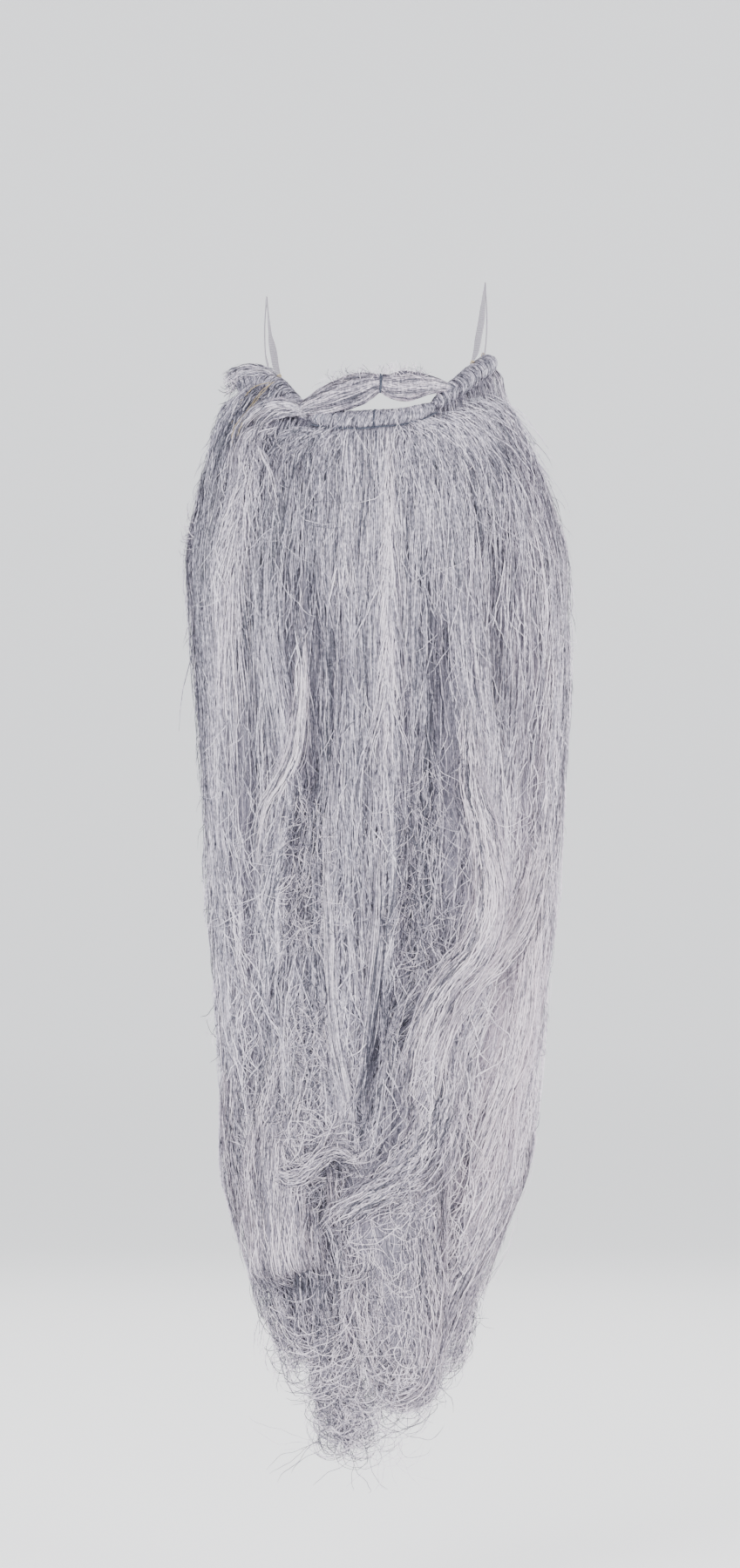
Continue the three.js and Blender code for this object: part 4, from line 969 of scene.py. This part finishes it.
# Loose hairs: count, px, py, rx, ry, shortest and longest in mm, heading, scatter, turn from and to,
# lift from and to, width, light and whether they turn both ways. Heading 0 is straight down and 90 is
# to the right of the picture, and the turn is in radians a mm.
CURLS = [
    # webs of hair across the hollows
    (230, 350, 960, 28, 56, 8, 24, 0, 0.8, 0.02, 0.06, 0, 4, 0.3, 0.05, 1),
    (190, 350, 1050, 28, 44, 8, 24, 0, 0.8, 0.02, 0.06, 0, 4, 0.3, -0.05, 1),
    (260, 353, 1190, 28, 64, 8, 24, 0, 0.9, 0.02, 0.06, 0, 4, 0.3, 0.05, 1),
    (230, 478, 1060, 28, 58, 8, 24, 0, 0.8, 0.02, 0.06, 0, 4, 0.3, -0.05, 1),
    (190, 478, 930, 30, 64, 8, 24, 0, 0.6, 0.02, 0.06, 0, 4, 0.3, -0.05, 1),
    (130, 330, 1290, 40, 30, 10, 30, 0, 1.2, 0.04, 0.1, 0, 4, 0.36, 0.05, 1),
    (160, 440, 1360, 60, 24, 12, 32, -60, 0.5, 0, 0.05, 4, 9, 0.36, 0.05, 1),
    (260, 350, 1325, 52, 42, 15, 45, 0, 1.3, 0.03, 0.09, 2, 8, 0.4, 0.08, 1),
    (200, 445, 1420, 60, 60, 15, 45, 0, 1, 0.02, 0.06, 3, 9, 0.4, 0.06, 1),
    # the ends
    (360, 397, 1626, 20, 36, 20, 60, 0, 1.4, 0.08, 0.15, -8, 6, 0.4, 0.05, 1),
    (300, 380, 1560, 20, 50, 14, 36, 0, 1, 0.04, 0.1, 0, 10, 0.4, 0.05, 1),
    (420, 440, 1510, 52, 80, 10, 34, 0, 0.6, 0, 0.07, 6, 15, 0.34, 0.05, 1),
    (200, 500, 1440, 52, 90, 12, 32, -12, 0.5, 0, 0.06, 2, 9, 0.34, 0.05, 1),
    (300, 462, 1585, 33, 24, 15, 45, 0, 1.4, 0.06, 0.12, 0, 13, 0.4, 0.08, 1),
    (120, 318, 1510, 14, 34, 20, 45, 0, 0.4, 0.01, 0.05, -12, 0, 0.4, 0.05, 0),
    (90, 340, 1550, 12, 16, 15, 35, 0, 0.9, 0.05, 0.11, -12, 0, 0.4, 0.05, 1),
    (80, 536, 1474, 9, 20, 35, 60, 0, 0.15, -0.035, -0.01, -10, 0, 0.4, 0.05, 0),
    (70, 530, 1545, 8, 20, 25, 50, 0, 0.4, -0.11, -0.06, -10, 0, 0.4, 0.05, 0),
    (40, 436, 1648, 32, 12, 25, 60, 0, 1.2, 0.05, 0.11, -8, 4, 0.34, 0.05, 1),
    (9, 494, 1612, 8, 5, 60, 100, 10, 0.2, -0.05, -0.04, -6, 4, 0.34, 0.05, 0),
    (7, 372, 1655, 6, 6, 30, 60, -70, 0.3, 0, 0.02, -6, 4, 0.34, 0.05, 1),
    (10, 430, 1668, 30, 6, 25, 45, 0, 0.4, 0, 0.03, -6, 4, 0.34, 0.05, 1),
    # loose hair at the right edge, and the tab's ragged end
    (30, 222, 612, 5, 18, 8, 22, -50, 0.8, 0.05, 0.14, -5, 4, 0.4, 0.05, 1),
    (50, 263, 431, 5, 8, 5, 11, -90, 0.9, 0.05, 0.2, -8, 2, 0.4, 0.05, 1),
    (16, 247, 1160, 4, 50, 8, 18, -30, 0.9, 0.05, 0.14, -5, 4, 0.4, 0.05, 1),
    # fuzz over the moustache
    (110, 405, 434, 34, 6, 4, 12, -150, 0.7, 0.05, 0.2, -4, 3, 0.3, 0.05, 1),
    (110, 462, 430, 28, 5, 4, 12, 150, 0.7, 0.05, 0.2, -4, 3, 0.3, 0.05, 1),
]


def dressed(table):
    return [shape(count, rows, **settings) for shape, count, rows, settings in table.values()]


ribbons("fall_locks", dressed(FALL_LOCKS), hair)
# Dark cores: painted shade inside the locks of the end, darkest under the fold.
core("fall_end_cores", [
    (FOLDED[:5], 0.84, 0.34), (MIDDLE, 0.8, 0.32), (LOWEST_LOCK, 0.42, 0.24), (UNDER, 0.5, 0.16),
])
ribbons("fall_end", dressed(FALL_END), hair)
ribbons("fall_crossing_locks", dressed(CROSSING_LOCKS), hair)
ribbons("fall_loose_hair", [
    fuzz(1500, any_side, (15, 45), (1.0, 3.5)),
    fuzz(1400, rim_side, (8, 24), (0.5, 3.5), scatter=0.6, wide=0.42, light=-0.14),
] + [curls(*row) for row in CURLS], hair)


# Wound rolls


def roll_size(share):
    """A roll's girth along it, as a share: full in the middle and rounded off at its ends."""
    near = np.minimum(share, 1 - share) / 0.14
    return np.where(near < 1, mix(0.55, 1, np.sqrt(np.clip(1 - (1 - near) ** 2, 0, 1))), 1)


def closed_rings(centre, across, up, sides=24, shut=0.002):
    """Points of rings about a line, drawn nearly to a point at both ends."""
    turn = (2 * np.pi * np.arange(sides) / sides)[None, :, None]
    size = np.ones((len(centre), 1, 1))
    size[[0, -1]] = shut
    ring = across[:, None] * np.cos(turn) + up[:, None] * np.sin(turn)
    return (centre[:, None] + size * ring).reshape(-1, 3)


def roll_body(name, start, end):
    share = np.concatenate([[0], 0.5 - 0.5 * np.cos(np.pi * np.linspace(0, 1, 60)), [1]])
    centre, _, out, over, radius = edge_at(mix(start, end, share))
    size = (radius * roll_size(share) - 0.5)[:, None]
    mesh_object(name, closed_rings(centre, out * size, over * size), grid_faces(len(share), 24, True),
                wound_under, colour=UNDER_COLOUR)


def wound_strands(start, end, count, m=16):
    """Hair wound round a roll, nearly square to its length."""
    middle = each(count, start, end)
    angle = each(count, 0, 2 * np.pi) + steps(m) * each(count, 3.5, 6.0)
    slant = rng.normal(0.014, 0.008, (count, 1))
    place = np.clip(middle + slant * np.linspace(-1, 1, m)[None, :], start, end)
    centre, _, out, over, radius = edge_at(place)
    size = radius * roll_size((place - start) / (end - start))
    size = size + each(count, -0.3, 0.5) + waves(count, angle * 6, (0.2, 9))
    away = out * np.cos(angle)[..., None] + over * np.sin(angle)[..., None]
    width = widths(count, 0.65, 1) + 0 * angle
    clump = 0.1 * np.sin(place * 330 + np.sin(place * 900)) + 0.08 * np.sin(place * 710)
    tint = 0.85 * strand_tints(count) - 0.06 + clump + waves(count, angle * 6, (0.1, 12))
    return centre + away * size[..., None], away, width, tint, 0.3


UNDER_COLOUR = (0.36, 0.3, 0)
TRIM = 0.0015
ROLLS = {
    "cheek_roll_right": (0.0, RIGHT_CORNER, 700),
    "lip_roll": (RIGHT_CORNER, LEFT_CORNER, 800),
    "cheek_roll_left": (LEFT_CORNER, 1.0, 800),
}
for node, (start, end, count) in ROLLS.items():
    roll_body(node + "_body", start + TRIM, end - TRIM)
    strands = wound_strands(start + TRIM, end - TRIM, count // THIN)
    piece = ribbons(node + "_winding", [strands], wound)
    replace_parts(piece, node)


# Moustache: across, up, tall, thick, back

MOUSTACHE = np.array([
    (-1.04, -0.84, 0.26, 0.40, 0.29),
    (-0.94, -0.73, 0.52, 0.65, 0.21),
    (-0.79, -0.62, 0.78, 0.85, 0.11),
    (-0.57, -0.44, 0.98, 1.00, 0.01),
    (-0.28, -0.20, 1.00, 1.00, -0.06),
    (-0.10, -0.05, 0.82, 0.85, -0.085),
    (0.02, 0.00, 0.58, 0.62, -0.09),
    (0.16, -0.08, 0.86, 0.88, -0.08),
    (0.36, -0.08, 0.95, 1.00, -0.045),
    (0.57, -0.02, 0.68, 0.85, 0.03),
    (0.74, -0.01, 0.48, 0.65, 0.11),
    (0.91, -0.06, 0.28, 0.50, 0.20),
])
MOUSTACHE_POINTS = np.stack([
    MOUSTACHE[:, 0] * MOUSTACHE_SPAN / 2,
    MOUSTACHE[:, 4] * JAW_DEPTH,
    MOUSTACHE_RISE + MOUSTACHE[:, 1] * MOUSTACHE_HEIGHT,
], -1)
WAIST = 6 / 11


def moustache_frame(place):
    """Centre, forward and upward directions, and half height and half depth of the moustache."""
    place = np.asarray(place, float)
    tangent = heading_of(MOUSTACHE_POINTS, place)
    forward = unit(np.cross(tangent, UP))
    high, deep = (
        np.interp(place, np.linspace(0, 1, len(MOUSTACHE)), MOUSTACHE[:, column]) * size / 2
        for column, size in ((2, MOUSTACHE_HEIGHT), (3, MOUSTACHE_THICKNESS))
    )
    return rom(MOUSTACHE_POINTS, place), forward, unit(np.cross(forward, tangent)), high, deep


def moustache_fullness(place):
    """How far the loose hair stands beyond the sections: little at the tie, more along the wings."""
    wing = smooth(np.abs(place - WAIST), 0.02, 0.2)
    return mix(0.92, 1.08, wing) + 0.35 * smooth(0.12 - place, 0, 0.12)


def moustache_body():
    place = np.concatenate([[0], np.linspace(0, 1, 80), [1]])
    centre, forward, upward, high, deep = moustache_frame(place)
    full = 0.86 * moustache_fullness(place)
    points = closed_rings(centre, (deep * full)[:, None] * forward, (high * full)[:, None] * upward)
    mesh_object("moustache_body", points, grid_faces(len(place), 24, True), wound_under,
                colour=UNDER_COLOUR)


def moustache_strands(count, m=26):
    wing = np.sign(each(count, -1.15, 1))
    start = WAIST + each(count, -0.03, 0.01) * wing
    reach = np.where(wing < 0, start * each(count, 0.75, 1.0), (1 - start) * each(count, 0.7, 1.0))
    place = start + wing * reach * steps(m)
    centre, forward, upward, high, deep = moustache_frame(np.clip(place, 0, 1))
    run = np.abs(place - start) * 115
    angle = each(count, 0, 2 * np.pi) + waves(count, run, (0.16, 40), (0.06, 14))
    size = each(count, 0.9, 1.06) * moustache_fullness(place)
    across, up = np.cos(angle), np.sin(angle)
    away = forward * across[..., None] + upward * up[..., None]
    up = high * size * up + waves(count, run, (0.3, 18), (0.2, 10))
    points = centre + forward * (deep * size * across)[..., None] + upward * up[..., None]
    width = widths(count, 0.62, 1 - smooth(steps(m), 0.85, 1))
    tint = strand_tints(count, -0.07, 1.3) + 0.08 * np.sin(angle * 9 + wing)
    return points, away, width, tint + waves(count, run, (0.12, 20), (0.1, 9)), 0.75


moustache_body()
piece = ribbons("moustache_strands", [moustache_strands(1100 // THIN)], hair)
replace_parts(piece, "moustache")


# Thread and elastic


def thread_material(name, dark, light):
    material, tree, bsdf = material_of(name, 0.75)
    twist = noise(tree, mapping(tree, (1500, 1500, 700)), 1.0, 2.0)
    put(tree, bsdf, Base_Color=ramp(tree, twist, [(0.35, dark), (0.65, light)]))
    bump(tree, bsdf, twist, 0.5, 0.0003)
    return material


def wave_node(tree, where, direction, scale):
    node = new_node(tree, "TexWave", Scale=scale, Vector=where)
    node.bands_direction = direction
    return node.outputs["Fac"]


def elastic_material():
    """Braided elastic: ribs along the band and a fine pitch across it."""
    material, tree, bsdf = material_of("beard_elastic", 0.65)
    where = mapping(tree, (1, 1, 1), "UV")
    weave = math_node(tree, "MULTIPLY", wave_node(tree, where, "X", 3.1), wave_node(tree, where, "Y", 2.6))
    worn = math_node(tree, "ADD", weave, math_node(tree, "MULTIPLY", noise(tree, where, 9.0), 0.5))
    put(tree, bsdf, Base_Color=ramp(tree, worn, [(0.1, (0.17, 0.16, 0.19)), (0.9, (0.50, 0.47, 0.53))]))
    bump(tree, bsdf, weave, 0.6, 0.0004)
    return material


def tubes(name, paths, radius, material, sides=8):
    """Round threads along paths, each with the way out from what it lies on."""
    points, faces, base = [], [], 0
    for path, away in paths:
        tangent = unit(np.gradient(path, axis=0))
        side = unit(np.cross(tangent, away))
        over = np.cross(side, tangent)
        points.append(closed_rings(path, side * radius, over * radius, sides, 0.002 / radius))
        faces.append(grid_faces(len(path), sides, True) + base)
        base += len(path) * sides
    return mesh_object(name, np.concatenate(points), np.concatenate(faces), material)


def coil(ring, turns, pitch, start=0.0):
    """Thread wound turns times: ring(step, angle) gives the place and the way out at a step in mm."""
    t = np.linspace(0, 1, int(turns * 44))
    return ring((t - 0.5) * turns * pitch, start + 2 * np.pi * turns * t)


TIE_TURNS, THREAD = 3, 0.9
moustache_line = rom(MOUSTACHE_POINTS, np.linspace(0, 1, 200))
MOUSTACHE_LENGTH = np.linalg.norm(np.diff(moustache_line, axis=0), axis=1).sum()


def moustache_ring(step, angle):
    centre, forward, upward, high, deep = moustache_frame(WAIST + step / MOUSTACHE_LENGTH)
    across, up = np.cos(angle), np.sin(angle)
    place = centre + forward * ((deep + 0.4) * across)[:, None] + upward * ((high + 0.4) * up)[:, None]
    return place, forward * across[:, None] + upward * up[:, None]


def lip_ring(place, slant, lift=0.45):
    def ring(step, angle):
        centre, tangent, out, over, radius = edge_at(np.full(len(step), place))
        away = out * np.cos(angle)[:, None] + over * np.sin(angle)[:, None]
        step = step + slant * np.sin(angle)
        return centre + tangent * step[:, None] + away * (radius + lift)[:, None], away
    return ring


def tail(ring, step, angle, length, way):
    """A cut end of thread that stands off its coil."""
    place, _ = ring(np.array([step, step]), np.array([angle, angle + 0.2]))
    t = np.linspace(0, 1, 9)[:, None]
    line = place[0] + (place[1] - place[0]) * t * 2 + np.array(way, float) * length * t**1.5
    return line, np.broadcast_to((0.0, -1.0, 0.3), line.shape)


dark_thread = thread_material("beard_thread", (0.02, 0.024, 0.04), (0.08, 0.09, 0.13))
grey_thread = thread_material("beard_grey_thread", (0.07, 0.08, 0.12), (0.2, 0.21, 0.27))
straw_thread = thread_material("beard_straw_thread", (0.36, 0.28, 0.16), (0.62, 0.50, 0.32))
elastic = elastic_material()

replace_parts(tubes("moustache_tie_coils", [
    coil(moustache_ring, TIE_TURNS + 0.4, THREAD * 0.86, 2.2),
    tail(moustache_ring, -1.2, 2.6, 6.0, (-0.5, 0.4, 0.5)),
    tail(moustache_ring, 1.2, 2.9, 5.0, (0.6, 0.5, 0.2)),
], THREAD * 0.4, dark_thread), "moustache_tie")
lip_turns = lip_ring(7.05 / 14, 0.7)
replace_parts(tubes("lip_tie_coils", [
    coil(lip_turns, TIE_TURNS - 0.6, THREAD * 0.8, 2.2), tail(lip_turns, 0.8, 2.8, 4.0, (0.4, 0.7, 0.1)),
], THREAD * 0.36, dark_thread), "lip_tie")
# A dark thread along the underside of the lip roll: stitches, and also a painted shadow line between the roll
# and the fall.
seam = np.linspace(5.15 / 14, 9.0 / 14, 160)
seam_centre, _, seam_out, seam_over, seam_radius = edge_at(seam)
seam_away = unit(seam_out * 0.64 - seam_over * 0.77)
seam_line = seam_centre + seam_away * (seam_radius + 0.8)[:, None]
seam_line[:, 2] -= 0.5 * np.abs(np.sin(seam * 55))
tubes("lip_seam_and_shadow_line", [(seam_line, seam_away)], 0.5, dark_thread)
# place along the edge, slant, lift, turns and pitch of each stitch
STITCHES = [(6.22, 0.9, 0.25, 1.2, 0.8), (5.72, -0.7, 0.2, 1.15, 0.8), (7.75, 0.5, 0.2, 1.15, 0.7),
            (5.42, 0.6, 0.2, 1.3, 0.9)]
tubes("lip_stitches", [
    coil(lip_ring(place / 14, slant, lift), turns, pitch, 2.4)
    for place, slant, lift, turns, pitch in STITCHES
], 0.34, grey_thread)

# An ear loop above its front foot: out, back, up and the band's twist in degrees for the right and left ears
EAR_LOOP = np.array([
    (0.07, 0.03, 0.14, 55, 40), (0.11, 0.07, 0.32, 80, 60), (0.16, 0.12, 0.54, 20, 55),
    (0.19, 0.22, 0.78, 5, 25), (0.22, 0.50, 0.98, 0, 5), (0.24, 0.83, 0.92, 0, 0),
    (0.26, 1.00, 0.66, 0, 0), (0.25, 0.95, 0.36, 0, 0), (0.21, 0.72, 0.11, 0, 0),
])
EAR_LOOP_HEIGHT, EAR_LOOP_DEPTH, ELASTIC_WIDTH, ELASTIC_THICKNESS = 58.0, 46.0, 6.0, 1.0
FOOT_ANGLE = math.radians(120)


def foot(place):
    centre, _, out, over, radius = edge_at(place)
    return centre + (radius + GAP - 0.6) * (out * math.cos(FOOT_ANGLE) + over * math.sin(FOOT_ANGLE))


def twist_at(twist, place):
    return np.interp(place, np.linspace(0, 1, len(twist)), twist)


def ear_loop(side, front, back, column):
    """The line of an ear loop and its twist in degrees."""
    start = foot(front)
    away = EAR_LOOP[:, :3] * (side * EAR_LOOP_DEPTH, EAR_LOOP_DEPTH, EAR_LOOP_HEIGHT)
    return np.vstack([start, start + away, foot(back)]), np.concatenate([[0], EAR_LOOP[:, column], [0]])


def ear_frame(side, line, twist, place):
    """Middle, width and face directions of the band at places along it."""
    tangent = heading_of(line, place, 1e-3)
    flat = unit(np.array([side, 0, 0]) - side * tangent * tangent[:, :1])
    wide = unit(np.cross(tangent, flat))
    turn = side * np.radians(twist_at(twist, place))[:, None]
    c, s = np.cos(turn), np.sin(turn)
    return rom(line, place), wide * c - flat * s, flat * c + wide * s


def ear_band(name, side, *feet):
    """A flat braided band with ribs along it, drawn in a little where it twists, and closed at both ends."""
    line, twist = ear_loop(side, *feet)
    place = np.concatenate([[0], np.linspace(0, 1, 150), [1]])
    centre, wide, face = ear_frame(side, line, twist, place)
    u = np.linspace(-1, 1, 17)
    rib = (0.82 + 0.18 * np.abs(np.cos(u * math.pi * 2.5))) * np.sqrt(np.clip(1 - np.abs(u) ** 8, 0, 1))
    ring_u = np.concatenate([u, u[-2:0:-1]])
    ring_v = np.concatenate([rib, -rib[-2:0:-1]])[None, :, None]
    shut = np.ones((len(place), 1, 1))
    shut[[0, -1]] = 0.002
    slack = (1 - 0.12 * smooth(twist_at(twist, place), 30, 80))[:, None, None]
    points = centre[:, None] + shut * (
        wide[:, None] * ring_u[None, :, None] * slack * ELASTIC_WIDTH / 2
        + face[:, None] * ring_v * ELASTIC_THICKNESS / 2
    )
    length = np.concatenate([[0], np.cumsum(np.linalg.norm(np.diff(centre, axis=0), axis=1))]) / 10
    uv = xyz(ring_u[None, :] * 0.3 + 0.3, length[:, None])
    faces = grid_faces(len(place), len(ring_u), True)
    return mesh_object(name, points.reshape(-1, 3), faces, elastic, uv=uv.reshape(-1, 2),
                       uv_name="weave")


def foot_stitches(side, *feet):
    """Thread whipped over the band where it is sewn to the roll."""
    turn = np.linspace(0, 2 * np.pi, 30)[:, None]
    for place in (0.012, 0.022, 0.032, 0.968, 0.978, 0.988):
        centre, wide, face = (v[0] for v in ear_frame(side, *ear_loop(side, *feet), np.array([place])))
        lean = (rng.random() - 0.5) * 0.8 * np.cos(turn) * unit(np.cross(wide, face))
        line = centre + wide * 3.3 * np.cos(turn) + face * 0.95 * np.sin(turn) + lean
        yield line, wide * np.cos(turn) + face * np.sin(turn)


# side, front foot, back foot, and the twist's column in EAR_LOOP
EARS = {"ear_loop_right": (-1, 0.15, 0.055, 3), "ear_loop_left": (1, 0.89, 0.975, 4)}
for node, ear in EARS.items():
    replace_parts(ear_band(node + "_band", *ear), node)
stitches = [path for ear in EARS.values() for path in foot_stitches(*ear)]
tubes("ear_loop_stitches", stitches, 0.28, straw_thread)


# Thread ends through places of the photograph: px, py, and how far back in mm
LOOSE_THREADS = [
    [(313, 427, 72), (300, 436, 70), (288, 452, 66), (276, 468, 60), (266, 484, 56), (263, 500, 54),
     (268, 508, 52), (278, 501, 50)],
    [(310, 428, 72), (296, 444, 68), (284, 462, 62), (274, 480, 57), (269, 494, 54)],
    [(308, 428, 72), (290, 433, 72), (277, 446, 68), (268, 462, 63), (262, 478, 60)],
]


def loose_thread(rows, m=40):
    line = photo_line(rows)
    line[:, 1] = [back for _, _, back in rows]
    wobble = waves(1, np.arange(m)[None, :] * 1.5, (0.5, 14), (0.3, 6))[0]
    return rom(line, np.linspace(0, 1, m)) + xyz(wobble, 0.0, 0.0), np.broadcast_to(AHEAD, (m, 3))


tubes("loose_threads", [loose_thread(rows) for rows in LOOSE_THREADS], 0.24, straw_thread)


# Floor, light and camera

PHOTO_WIDTH, PHOTO_HEIGHT, SENSOR, DISTANCE = 849, 1800, 36.0, 4.0
FLOOR, FLOOR_RADIUS, BEND_RADIUS, WALL_TOP, TURNS = -0.80, 8.5, 2.0, 5.0, 64
AIM = (0, 0, -0.3)


def add_object(name, data, place=(0, 0, 0)):
    made = bpy.data.objects.new(name, data)
    bpy.context.scene.collection.objects.link(made)
    made.location = place
    return made


floor_material, tree, bsdf = material_of("studio_floor", 0.9)
put(tree, bsdf, Base_Color=(0.95, 0.95, 0.955, 1), Emission_Color=(0.97, 0.98, 1.0, 1), Emission_Strength=0.3)
bend = np.linspace(0, math.pi / 2, 16)[1:]
profile = [(0.0001, FLOOR), (FLOOR_RADIUS, FLOOR)] + [
    (FLOOR_RADIUS + BEND_RADIUS * math.sin(t), FLOOR + BEND_RADIUS * (1 - math.cos(t))) for t in bend
] + [(FLOOR_RADIUS + BEND_RADIUS, WALL_TOP)]
spin = 2 * np.pi * np.arange(TURNS) / TURNS
sweep = [(r * math.cos(t), r * math.sin(t), z) for r, z in profile for t in spin]
mesh = bpy.data.meshes.new("studio_floor")
mesh.from_pydata(sweep, [], grid_faces(len(profile), TURNS, True)[:, ::-1].tolist())
mesh.materials.append(floor_material)
mesh.polygons.foreach_set("use_smooth", [True] * len(mesh.polygons))
floor = add_object("studio_floor", mesh)

world = bpy.data.worlds.new("studio")
world.use_nodes = True
put(world.node_tree, world.node_tree.nodes["Background"], Color=(0.95, 0.97, 1.0, 1), Strength=1.0)
bpy.context.scene.world = world

# name, place, size, power and colour of each light
LIGHTS = [
    ("key", (-1.1, -2.2, 1.2), (1.0, 1.4), 49, (1, 1, 1)),
    ("fill", (1.6, -2.0, 0.2), (1.0, 1.6), 38, (1.0, 0.975, 0.955)),
    ("side_left", (-2.2, 0.5, 0.3), (0.8, 1.6), 42, (1, 1, 1)),
    ("side_right", (2.2, 0.5, 0.3), (0.8, 1.6), 42, (1, 1, 1)),
    ("back", (0, 2.4, 0.8), (1.4, 1.4), 20, (1.0, 0.97, 0.94)),
]
for name, place, size, power, colour in LIGHTS:
    data = bpy.data.lights.new(name, "AREA")
    data.shape = "RECTANGLE"
    data.size, data.size_y = size
    data.energy, data.color = power, colour
    turn = Vector(np.array(AIM) - np.array(place)).to_track_quat("-Z", "Y")
    add_object(name, data, place).rotation_euler = turn.to_euler()

lens = bpy.data.cameras.new("camera")
lens.sensor_fit = "VERTICAL"
lens.sensor_height = lens.sensor_width = SENSOR
lens.lens = SENSOR * DISTANCE / (PHOTO_HEIGHT * SCALE * MM)
lens.clip_end = 50
across, up = (PHOTO_WIDTH / 2 - CENTRE_X) * SCALE * MM, (CHIN_Y - PHOTO_HEIGHT / 2) * SCALE * MM
camera = add_object("camera", lens, (across, -DISTANCE - 0.02, up))
camera.rotation_euler = (math.pi / 2, 0, 0)
bpy.context.scene.camera = camera
